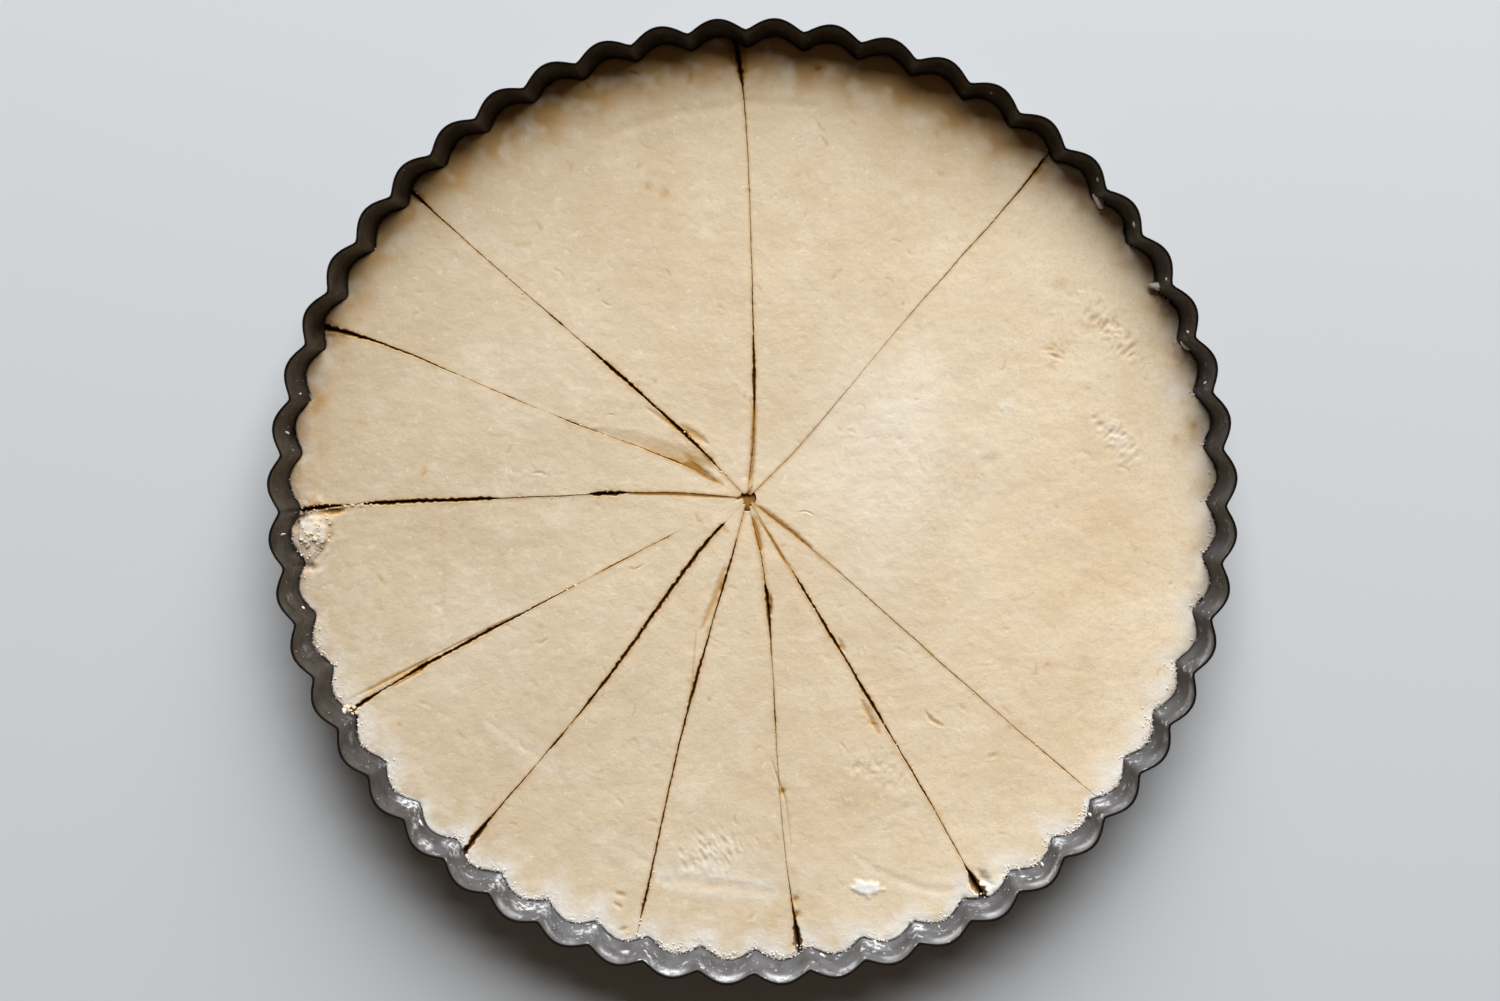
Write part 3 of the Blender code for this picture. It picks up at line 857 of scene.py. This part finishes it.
def add_lump(bm, centre, radii, rng, rough=0.22, detail=2):
    """One uneven lump, turned at random."""
    made = bmesh.ops.create_icosphere(bm, subdivisions=detail, radius=1.0)["verts"]
    for vert in made:
        vert.co *= 1.0 + rough * rng.uniform(-1.0, 1.0)
    bmesh.ops.scale(bm, verts=made, vec=radii)
    turn = Matrix.Rotation(rng.uniform(0, 2 * math.pi), 3, "Z")
    bmesh.ops.rotate(bm, verts=made, cent=(0, 0, 0), matrix=turn)
    bmesh.ops.translate(bm, verts=made, vec=centre)
    return made


def pour(batch, whole):
    """Moves a small batch of lumps into the whole; the operators stay quick that way."""
    mesh = mesh_of(batch, "batch")
    whole.from_mesh(mesh)
    bpy.data.meshes.remove(mesh)
    return bmesh.new()


def finish_lumps(bm, name, material):
    """Shows the lumps as one piece."""
    bmesh.ops.recalc_face_normals(bm, faces=bm.faces)
    return add_piece(name, mesh_of(bm, name), material)


def top_height(x, y):
    """Height of the dough's open top at each point."""
    marks = mark_top(np.atleast_1d(x) / MM, np.atleast_1d(y) / MM)
    return DOUGH_HIGH.z - TOP_SINK + marks["height"] * MM


# Stretches of a cut with dough crumbs on and in it, in millimetres: (cut, from, to, how many)
CRUMBLY = (
    (0, 20, 115, 5), (1, 8, 115, 8), (2, 8, 117, 26), (3, 40, 117, 12), (4, 32, 60, 12), (4, 98, 118, 26),
    (5, 50, 117, 22), (6, 9, 117, 30), (7, 100, 117, 10), (8, 58, 117, 26), (9, 25, 117, 20),
    (10, 60, 117, 4),
)
# Where the edge of the dough broke into crumbs, in millimetres: (x, y, spread in x, spread in y, how many)
BROKEN_EDGES = ((-115.4, -7.6, 2.2, 3.4, 46), (-107.0, -54.8, 1.2, 0.8, 14), (-103.6, 0.0, 1.8, 0.4, 8))
# The mound of torn dough where the cuts meet: its place from there, its depth and its radii
MOUND_PLACE, MOUND_DEPTH, MOUND_RADII = (0.4 * MM, -0.5 * MM), 2.65 * MM, (3.2 * MM, 3.4 * MM, 1.4 * MM)
MOUND_REACH = 4.5 * MM  # crumbs this near the middle take the mound's colour, painted shade included
TORN_AND_SHADED_MOUND, TORN_CRUMB = 0.97, 0.12  # torn share of the mound and of the loose crumbs; the mound's is high enough to take the painted shade of the hollow it lies in
CRUMB_SIZES = (0.12, 0.38)  # millimetres


def make_crumbs(cuts, material):
    """Small bits of dough torn up by the knife, lying along the cuts and at the bottom of the centre."""
    rng = np.random.default_rng(5)
    bm = bmesh.new()
    for number, start, end, count in CRUMBLY:
        for _ in range(count):
            radius = rng.uniform(start, end) * MM
            size = rng.uniform(*CRUMB_SIZES) * MM
            cut = cuts[number]
            off = rng.choice((-1.0, 1.0)) * (0.5 * float(cut.width(radius)) + rng.uniform(-0.2, 0.5) * MM)
            x, y = polar(float(cut.bearing(radius)) + off / radius, radius)
            height = top_height(x, y)[0] - rng.uniform(0.2, 0.8) * size
            add_lump(bm, (x, y, height), (size, size * rng.uniform(0.6, 1.0), size * 0.7), rng, detail=1)
    for x, y, spread_x, spread_y, count in BROKEN_EDGES:
        for _ in range(count):
            place_x, place_y = rng.normal(x, spread_x) * MM, rng.normal(y, spread_y) * MM
            size = min(0.2 + rng.exponential(0.28), 0.9) * MM
            height = top_height(place_x, place_y)[0] - 0.3 * size
            add_lump(bm, (place_x, place_y, height), (size, 0.8 * size, 0.4 * size), rng, rough=0.3)
    centre = (CUT_CENTRE[0] + MOUND_PLACE[0], CUT_CENTRE[1] + MOUND_PLACE[1], DOUGH_HIGH.z - MOUND_DEPTH)
    add_lump(bm, centre, MOUND_RADII, rng, rough=0.05, detail=3)
    crumbs = finish_lumps(bm, "dough_crumbs", material)
    central = np.hypot(*(mesh_points(crumbs.data)[:, :2] - CUT_CENTRE).T) < MOUND_REACH
    keep_attribute(crumbs.data, "torn_dough_and_painted_shade", np.where(central, TORN_AND_SHADED_MOUND, TORN_CRUMB))
    return crumbs


# Lumps of flour and dough caught on the tin: (bearing, height above the base, length, width), millimetres
WALL_LUMPS = (
    (41.5, 14.8, 4.4, 3.2), (28.6, 14.6, 4.0, 2.6), (20.4, 14.2, 3.4, 2.0), (43.6, 21.0, 1.3, 0.9),
    (36.6, 20.5, 1.5, 1.0), (22.0, 20.0, 1.1, 0.8), (29.0, 21.5, 0.9, 0.7), (15.5, 19.0, 1.1, 0.8),
    (60.0, 19.0, 0.9, 0.7), (171.0, 17.5, 1.6, 0.9), (166.0, 18.5, 0.9, 0.6), (183.5, 18.0, 2.0, 1.0),
    (193.0, 15.0, 1.0, 0.8), (207.0, 14.6, 2.4, 1.6), (221.5, 17.5, 1.8, 1.0), (224.0, 15.0, 2.2, 1.2),
    (228.5, 16.0, 1.4, 0.8), (236.0, 17.0, 1.0, 0.6), (279.0, 14.4, 1.8, 1.2), (285.8, 14.2, 2.0, 1.2),
    (294.0, 15.0, 1.0, 0.7), (309.0, 14.4, 1.7, 1.2), (317.6, 14.6, 1.6, 1.2), (334.0, 15.0, 0.7, 0.5),
)
# Smears of flour rubbed on the inner wall: (bearing, height, half length, half height, strength)
WALL_SMEARS = (
    (188.2, 18.0, 1.0, 1.3, 0.35), (191.2, 18.5, 1.2, 1.6, 0.35), (198.0, 17.5, 1.6, 1.8, 0.4),
    (210.0, 17.0, 1.4, 1.6, 0.4), (221.5, 14.5, 3.2, 2.4, 1.0), (223.4, 17.5, 1.2, 3.0, 0.9),
    (226.0, 20.5, 1.8, 2.2, 0.8), (229.0, 15.5, 2.2, 2.8, 0.7), (236.5, 15.0, 1.6, 2.8, 0.7),
    (240.6, 16.2, 2.8, 2.4, 1.0), (243.0, 16.0, 1.3, 2.8, 0.8), (248.6, 17.0, 2.2, 1.6, 0.7),
    (254.2, 18.0, 0.9, 0.9, 1.0), (259.6, 22.6, 4.2, 1.0, 1.0), (266.5, 22.6, 3.6, 0.9, 0.8),
    (274.0, 22.6, 3.4, 0.9, 0.8), (282.0, 22.4, 2.4, 0.9, 0.5), (285.8, 15.0, 2.4, 1.8, 1.0),
    (291.5, 15.5, 2.0, 1.8, 0.9), (300.0, 16.0, 2.0, 1.6, 0.4), (310.5, 21.8, 2.4, 1.0, 0.9),
    (312.4, 15.0, 1.2, 2.2, 0.8), (319.6, 16.0, 1.6, 2.2, 0.9), (333.0, 15.0, 1.0, 1.6, 0.5),
)
WALL_SPECKS = 170  # small bits besides the lumps
SPECK_BEARING, SPECK_SPREAD = 230.0, 62.0  # degrees
SPECK_SIZES, SPECK_HEIGHTS = (0.10, 0.34), (13.5, 23.5)  # millimetres
EDGE_BITS = 2200  # tiny clots along the dough's edge
SMALLEST_BIT, USUAL_EXCESS, LARGEST_BIT = 0.09, 0.07, 0.28  # their sizes in millimetres
BATCH_POINTS = 1200  # a batch with more points than this goes into the whole


def edge_places(count, settings, rng):
    """Random places along the dough's floury edge, thicker where there is more flour."""
    bearing = rng.uniform(0.0, 2.0 * math.pi, 12 * count)
    share = np.interp(np.degrees(bearing), *np.array(EDGE_FLOUR).T)
    clotted = smooth(0.5 + 1.2 * round_noise(bearing, 3.5, 37))
    bearing = bearing[rng.uniform(0.0, 1.0, len(bearing)) < share ** 1.5 * clotted][:count]
    inwards = (np.abs(rng.normal(0.0, 1.3, len(bearing))) - 0.2) * MM
    radius = dough_radius(bearing, DOUGH_HIGH.z, settings) - inwards
    x, y = radius * np.cos(bearing), radius * np.sin(bearing)
    sunk = corner_drop(inwards, settings.edge_round) + edge_dip(np.maximum(inwards, 0.0))
    return x, y, top_height(x, y) - sunk


def make_edge_bits(settings, material):
    """Tiny clots of flour and dough that make the edge of the round fuzzy."""
    rng = np.random.default_rng(17)
    whole, batch = bmesh.new(), bmesh.new()
    for x, y, height in zip(*edge_places(EDGE_BITS, settings, rng)):
        size = min(SMALLEST_BIT + rng.exponential(USUAL_EXCESS), LARGEST_BIT) * MM
        radii = (size * rng.uniform(1.0, 1.6), size, 0.8 * size)
        add_lump(batch, (x, y, height), radii, rng, rough=0.3, detail=1)
        if len(batch.verts) > BATCH_POINTS:
            batch = pour(batch, whole)
    pour(batch, whole).free()
    return finish_lumps(whole, "edge_bits", material)


def make_flour_lumps(tin, material):
    """Bits of flour and dough on the tin's inner wall."""
    rng = np.random.default_rng(9)
    bm = bmesh.new()
    places = [(math.radians(bearing), height * MM, length * MM, width * MM, 2)
              for bearing, height, length, width in WALL_LUMPS]
    for _ in range(WALL_SPECKS):
        size = rng.uniform(*SPECK_SIZES) * MM
        bearing = math.radians(rng.normal(SPECK_BEARING, SPECK_SPREAD))
        places.append((bearing, rng.uniform(*SPECK_HEIGHTS) * MM, size * 1.4, size, 1))
    for bearing, height, length, width, detail in places:
        reach = wall_radius(height, float(flute_wave(bearing, tin.flute_softness)), tin) - 0.1 * width
        place = (reach * math.cos(bearing), reach * math.sin(bearing), height)
        radii = (0.35 * width, 0.5 * length, 0.5 * width)
        made = add_lump(bm, (0, 0, 0), radii, rng, rough=0.3, detail=detail)
        bmesh.ops.rotate(bm, verts=made, cent=(0, 0, 0), matrix=Matrix.Rotation(bearing, 3, "Z"))
        bmesh.ops.translate(bm, verts=made, vec=place)
    return finish_lumps(bm, "flour_lumps", material)


# ---------------------------------------------------------------- materials


class Recipe:
    """Builds one material's node tree on Object coordinates."""

    def __init__(self, name):
        self.material = bpy.data.materials.new(name)
        self.material.use_nodes = True
        self.nodes = self.material.node_tree.nodes
        self.links = self.material.node_tree.links
        self.shader = self.nodes["Principled BSDF"]
        self.place = self.nodes.new("ShaderNodeTexCoord").outputs["Object"]

    def plug(self, socket, value):
        """Links an output, or sets a plain value."""
        if isinstance(value, bpy.types.NodeSocket):
            self.links.new(value, socket)
        elif isinstance(value, float):
            socket.default_value = value
        else:
            socket.default_value = (*value, 1.0)

    def noise(self, size, detail=3.0, roughness=0.55):
        """Noise whose largest features are about this size in metres."""
        node = self.nodes.new("ShaderNodeTexNoise")
        node.inputs["Scale"].default_value = 1.0 / size
        node.inputs["Detail"].default_value = detail
        node.inputs["Roughness"].default_value = roughness
        self.links.new(self.place, node.inputs["Vector"])
        return node.outputs["Fac"]

    def attribute(self, name):
        """The number kept on the mesh's points."""
        node = self.nodes.new("ShaderNodeAttribute")
        node.attribute_name = name
        return node.outputs["Fac"]

    def fit(self, value, low, high, to_low=0.0, to_high=1.0):
        """Maps low to high onto another range, with the ends held."""
        node = self.nodes.new("ShaderNodeMapRange")
        for name, amount in (("From Min", low), ("From Max", high), ("To Min", to_low), ("To Max", to_high)):
            node.inputs[name].default_value = amount
        self.links.new(value, node.inputs["Value"])
        return node.outputs["Result"]

    def maths(self, operation, first, second):
        """One Math node, clamped to 0 to 1."""
        node = self.nodes.new("ShaderNodeMath")
        node.operation = operation
        node.use_clamp = True
        self.plug(node.inputs[0], first)
        self.plug(node.inputs[1], second)
        return node.outputs["Value"]

    def blend(self, share, first, second):
        """A share of the second colour over the first."""
        node = self.nodes.new("ShaderNodeMix")
        node.data_type = "RGBA"
        self.plug(node.inputs["Factor"], share)
        self.plug(node.inputs[6], first)
        self.plug(node.inputs[7], second)
        return node.outputs[2]

    def bump(self, height, distance, strength, under=None):
        """Fine relief of this depth in metres."""
        node = self.nodes.new("ShaderNodeBump")
        node.inputs["Distance"].default_value = distance
        node.inputs["Strength"].default_value = strength
        self.links.new(height, node.inputs["Height"])
        if under is not None:
            self.links.new(under, node.inputs["Normal"])
        return node.outputs["Normal"]

    def finish(self, colour, roughness, normal):
        """Plugs the results into the shader."""
        self.plug(self.shader.inputs["Base Color"], colour)
        self.plug(self.shader.inputs["Roughness"], roughness)
        self.links.new(normal, self.shader.inputs["Normal"])
        return self.material


SHADED_SHARE = 0.85  # painted shade: how much of the torn dough's colour is left deep in a cut, on its walls and on the mound where the cuts meet


def dough_material(settings):
    """Raw butter dough: mottled cream, tan where torn, white where flour lies on it, with shade painted in:
    darker towards the left, tan along the shaded edge, beside and inside the cuts.
    """
    recipe = Recipe("raw_dough")
    broad = recipe.fit(recipe.noise(30 * MM, 5.0, 0.6), 0.40, 0.66)
    tone = recipe.blend(broad, settings.dough, settings.deep)
    # painted shade: a darker tone laid over the dough towards its left side
    painted_left_shade = tuple(0.62 * part for part in settings.deep)
    tone = recipe.blend(recipe.fit(recipe.attribute("painted_left_shade"), 0.0, 1.0, 0.0, 0.68), tone, painted_left_shade)
    paler = tuple(0.45 * white + 0.55 * cream for white, cream in zip(settings.flour, settings.dough))
    tone = recipe.blend(recipe.fit(recipe.noise(9.0 * MM, 5.0, 0.65), 0.50, 0.72, 0.0, 0.3), tone, paler)
    browner = tuple(0.84 * part for part in settings.deep)
    tone = recipe.blend(recipe.fit(recipe.noise(1.6 * MM, 4.0, 0.65), 0.52, 0.76, 0.0, 0.55), tone, browner)
    fleck = recipe.noise(2.6 * MM, 6.0, 0.8)
    tone = recipe.blend(recipe.fit(fleck, 0.59, 0.66, 0.0, 0.55), tone, browner)
    tone = recipe.blend(recipe.fit(fleck, 0.42, 0.35, 0.0, 0.50), tone, paler)
    grain = recipe.noise(0.8 * MM, 3.0, 0.7)
    tone = recipe.blend(recipe.fit(grain, 0.50, 0.66, 0.0, 0.30), tone, browner)
    speck = recipe.fit(recipe.noise(5.0 * MM, 2.0, 0.5), 0.70, 0.80, 0.0, 0.25)
    tone = recipe.blend(speck, tone, settings.tan)
    # tan of torn dough, with painted shade along the dough's edge and at the cuts' lips; past 0.82 it turns
    # into the darker painted-shade colour of the cut walls and the mound
    torn = recipe.attribute("torn_dough_and_painted_shade")
    tone = recipe.blend(torn, tone, settings.tan)
    shaded = tuple(SHADED_SHARE * part ** 1.25 for part in settings.tan)
    tone = recipe.blend(recipe.fit(torn, 0.82, 1.0), tone, shaded)
    patchy = recipe.fit(recipe.noise(1.6 * MM, 4.0, 0.65), 0.3, 0.62, 0.45, 1.0)
    dusted = recipe.maths("MULTIPLY", recipe.attribute("flour_dust"), patchy)
    tone = recipe.blend(dusted, tone, settings.flour)
    normal = recipe.bump(recipe.noise(3.2 * MM, 4.0, 0.6), 0.25 * MM, 0.5)
    normal = recipe.bump(fleck, 0.30 * MM, 0.6, normal)
    recipe.shader.inputs["Specular IOR Level"].default_value = 0.25
    return recipe.finish(tone, recipe.fit(recipe.noise(4 * MM), 0.3, 0.7, 0.62, 0.82), normal)


def flour_material(settings):
    """Clotted flour with a little dough in it."""
    recipe = Recipe("clotted_flour")
    creamy = tuple(0.4 * white + 0.6 * cream for white, cream in zip(settings.flour, settings.dough))
    greyed = tuple(0.86 * part for part in settings.flour)
    tone = recipe.blend(recipe.fit(recipe.noise(1.6 * MM), 0.35, 0.65), greyed, creamy)
    normal = recipe.bump(recipe.noise(0.5 * MM, 3.0, 0.6), 0.12 * MM, 0.5)
    recipe.shader.inputs["Specular IOR Level"].default_value = 0.2
    return recipe.finish(tone, 0.9, normal)


def tin_material(tin):
    """Old tinned steel: dark, blotched, with flour rubbed on the inside of its wall and a pale arc of flour
    and painted highlight across each flute.
    """
    recipe = Recipe("old_tinned_steel")
    blotch = recipe.fit(recipe.noise(5.0 * MM, 5.0, 0.65), 0.42, 0.66)
    tone = recipe.blend(blotch, tin.steel, tin.tarnish)
    film = recipe.attribute("flour_film")
    cloud = recipe.fit(recipe.noise(4.5 * MM, 3.0, 0.5), 0.34, 0.62, 0.55, 1.0)
    filmed = recipe.maths("MULTIPLY", film, cloud)
    tone = recipe.blend(filmed, tone, tin.film)
    ridge = recipe.fit(recipe.attribute("ridge"), 0.0, 1.0, 0.0, 0.05)
    rubbed = recipe.maths("ADD", recipe.noise(2.4 * MM, 4.0, 0.65), ridge)
    smeared = recipe.maths("MULTIPLY", film, recipe.fit(rubbed, 0.60, 0.74))
    tone = recipe.blend(smeared, tone, tin.smear)
    # a pale arc across each flute: flour, and painted highlight
    broken = recipe.fit(recipe.noise(6.0 * MM, 3.0), 0.40, 0.62, 0.08, 0.95)
    arc = recipe.maths("MULTIPLY", recipe.attribute("flour_and_highlight_arc"), broken)
    tone = recipe.blend(arc, tone, tuple(0.75 * part for part in tin.smear))
    rubbing = recipe.fit(recipe.noise(1.5 * MM, 4.0, 0.7), 0.46, 0.56, 0.10, 1.0)
    wiped = recipe.maths("MULTIPLY", recipe.attribute("smears"), rubbing)
    tone = recipe.blend(wiped, tone, tin.smear)
    edge = recipe.attribute("rim_edge")
    tone = recipe.blend(edge, tone, tin.edge)
    bare = recipe.maths("SUBTRACT", 1.0, recipe.maths("ADD", recipe.maths("ADD", filmed, smeared), wiped))
    metal = recipe.maths("SUBTRACT", recipe.fit(bare, 0.0, 1.0, 0.0, 0.6), edge)
    recipe.plug(recipe.shader.inputs["Metallic"], metal)
    rough = recipe.maths("ADD", recipe.fit(bare, 0.0, 1.0, 0.75, 0.40), recipe.fit(edge, 0.0, 1.0, 0.0, 0.4))
    recipe.shader.inputs["Specular IOR Level"].default_value = 0.06
    normal = recipe.bump(recipe.noise(1.2 * MM, 4.0, 0.6), 0.06 * MM, 0.35)
    return recipe.finish(tone, rough, normal)


# ---------------------------------------------------------------- floor, lights and camera

FLOOR_SIZE = 8.0
FLOOR_DROP = 0.2 * MM  # the floor lies this far below the tin's base
FLOOR_ROUGHNESS = 0.6
KEY_BEARING, KEY_ELEVATION, KEY_DISTANCE = math.radians(81.0), math.radians(33.0), 3.0
KEY_SIZE = (2.4, 2.9)
LOW_BEARING, LOW_ELEVATION, LOW_DISTANCE = math.radians(250.0), math.radians(8.0), 1.2
LOW_SIZE = (1.0, 0.2)
SURROUND = (1.0, 0.71, 0.48)  # faint warm light from all round
VIEW_BEARING, VIEW_TILT, VIEW_DISTANCE = math.radians(73.0), math.radians(5.2), 0.70
VIEW_SHIFT = 0.0059


def direction(bearing, elevation):
    """A unit vector that way."""
    level = math.cos(elevation)
    return Vector((level * math.cos(bearing), level * math.sin(bearing), math.sin(elevation)))


def add_floor(colour):
    """The plain pale floor, evenly finished."""
    material = bpy.data.materials.new("pale_floor")
    material.use_nodes = True
    shader = material.node_tree.nodes["Principled BSDF"]
    shader.inputs["Base Color"].default_value = (*colour, 1.0)
    shader.inputs["Roughness"].default_value = FLOOR_ROUGHNESS
    bm = bmesh.new()
    bmesh.ops.create_grid(bm, x_segments=1, y_segments=1, size=0.5 * FLOOR_SIZE)
    bmesh.ops.translate(bm, verts=bm.verts, vec=(0.0, 0.0, -FLOOR_DROP))
    mesh = mesh_of(bm, "floor")
    mesh.materials.append(material)
    floor = bpy.data.objects.new("floor", mesh)
    bpy.context.scene.collection.objects.link(floor)


def add_light(name, bearing, elevation, distance, size, power):
    """A soft rectangle of light that faces the object."""
    lamp = bpy.data.lights.new(name, "AREA")
    lamp.shape = "RECTANGLE"
    lamp.size, lamp.size_y = size
    lamp.energy = power
    light = bpy.data.objects.new(name, lamp)
    bpy.context.scene.collection.objects.link(light)
    towards = direction(bearing, elevation)
    light.rotation_euler = towards.to_track_quat("Z", "Y").to_euler()
    light.location = towards * distance


def add_camera(focal_length):
    """The camera, nearly overhead, with +Y up in its view."""
    lens = bpy.data.cameras.new("overhead_camera")
    lens.lens = focal_length
    lens.shift_y = VIEW_SHIFT
    camera = bpy.data.objects.new("overhead_camera", lens)
    bpy.context.scene.collection.objects.link(camera)
    towards = direction(VIEW_BEARING, 0.5 * math.pi - VIEW_TILT)
    side = Vector((0.0, 1.0, 0.0)).cross(towards).normalized()
    camera.matrix_world = Matrix((side, towards.cross(side), towards)).transposed().to_4x4()
    camera.location = Vector((0.0, 0.0, TIN_HIGH.z)) + VIEW_DISTANCE * towards
    bpy.context.scene.camera = camera


def make_stage(stage):
    """A plain pale floor, soft light from behind the object and a camera nearly overhead."""
    add_floor(stage.floor)
    add_light("key_light", KEY_BEARING, KEY_ELEVATION, KEY_DISTANCE, KEY_SIZE, stage.key_power)
    add_light("low_light", LOW_BEARING, LOW_ELEVATION, LOW_DISTANCE, LOW_SIZE, stage.low_power)
    world = bpy.data.worlds.new("soft_surround")
    world.use_nodes = True
    background = world.node_tree.nodes["Background"]
    background.inputs["Color"].default_value = (*SURROUND, 1.0)
    background.inputs["Strength"].default_value = stage.fill
    bpy.context.scene.world = world
    bpy.context.scene.view_settings.view_transform = "Standard"
    add_camera(stage.lens)


# ---------------------------------------------------------------- operators, panel and registration


class SHORTBREAD_OT_stage(bpy.types.Operator):
    """Make the floor, the lights and the camera"""

    bl_idname = "shortbread.stage"
    bl_label = "Stage"

    def execute(self, context):
        make_stage(context.scene.shortbread_stage)
        return {"FINISHED"}


class SHORTBREAD_OT_tin(bpy.types.Operator):
    """Make the fluted tin"""

    bl_idname = "shortbread.tin"
    bl_label = "Tin"

    def execute(self, context):
        tin = context.scene.shortbread_tin
        make_tin(tin, tin_material(tin))
        return {"FINISHED"}


class SHORTBREAD_OT_wedges(bpy.types.Operator):
    """Make the wedges of dough between the knife cuts"""

    bl_idname = "shortbread.wedges"
    bl_label = "Wedges"

    def execute(self, context):
        settings = context.scene.shortbread_dough
        material = dough_material(settings)
        cuts = read_cuts()
        for number in range(CUTS):
            make_wedge(number, cuts, settings, material)
        return {"FINISHED"}


class SHORTBREAD_OT_crumbs(bpy.types.Operator):
    """Make the crumbs along the cuts"""

    bl_idname = "shortbread.crumbs"
    bl_label = "Crumbs"

    def execute(self, context):
        make_crumbs(read_cuts(), bpy.data.materials["raw_dough"])
        return {"FINISHED"}


class SHORTBREAD_OT_flour(bpy.types.Operator):
    """Make the flour and dough caught on the tin"""

    bl_idname = "shortbread.flour"
    bl_label = "Flour Lumps"

    def execute(self, context):
        dough = context.scene.shortbread_dough
        material = flour_material(dough)
        make_flour_lumps(context.scene.shortbread_tin, material)
        make_edge_bits(dough, material)
        return {"FINISHED"}


class SHORTBREAD_PT_panel(bpy.types.Panel):
    """Lists the makers and their settings"""

    bl_idname = "SHORTBREAD_PT_panel"
    bl_label = "Shortbread"
    bl_space_type = "VIEW_3D"
    bl_region_type = "UI"
    bl_category = "Shortbread"

    def draw(self, context):
        for settings, makers in (
            (context.scene.shortbread_tin, ("tin",)),
            (context.scene.shortbread_dough, ("wedges", "crumbs", "flour")),
            (context.scene.shortbread_stage, ("stage",)),
        ):
            box = self.layout.box()
            for name in settings.__annotations__:
                box.prop(settings, name)
            for maker in makers:
                box.operator(f"shortbread.{maker}")


CLASSES = (
    TinSettings, DoughSettings, StageSettings, SHORTBREAD_OT_stage, SHORTBREAD_OT_tin, SHORTBREAD_OT_wedges,
    SHORTBREAD_OT_crumbs, SHORTBREAD_OT_flour, SHORTBREAD_PT_panel,
)


def register():
    """Adds the classes and their settings to Blender."""
    for cls in CLASSES:
        bpy.utils.register_class(cls)
    bpy.types.Scene.shortbread_tin = PointerProperty(type=TinSettings)
    bpy.types.Scene.shortbread_dough = PointerProperty(type=DoughSettings)
    bpy.types.Scene.shortbread_stage = PointerProperty(type=StageSettings)


def unregister():
    """Takes them out again."""
    for name in ("shortbread_tin", "shortbread_dough", "shortbread_stage"):
        delattr(bpy.types.Scene, name)
    for cls in reversed(CLASSES):
        bpy.utils.unregister_class(cls)


def main():
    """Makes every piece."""
    register()
    bpy.ops.shortbread.stage()
    bpy.ops.shortbread.tin()
    bpy.ops.shortbread.wedges()
    bpy.ops.shortbread.crumbs()
    bpy.ops.shortbread.flour()


if __name__ == "__main__":
    main()
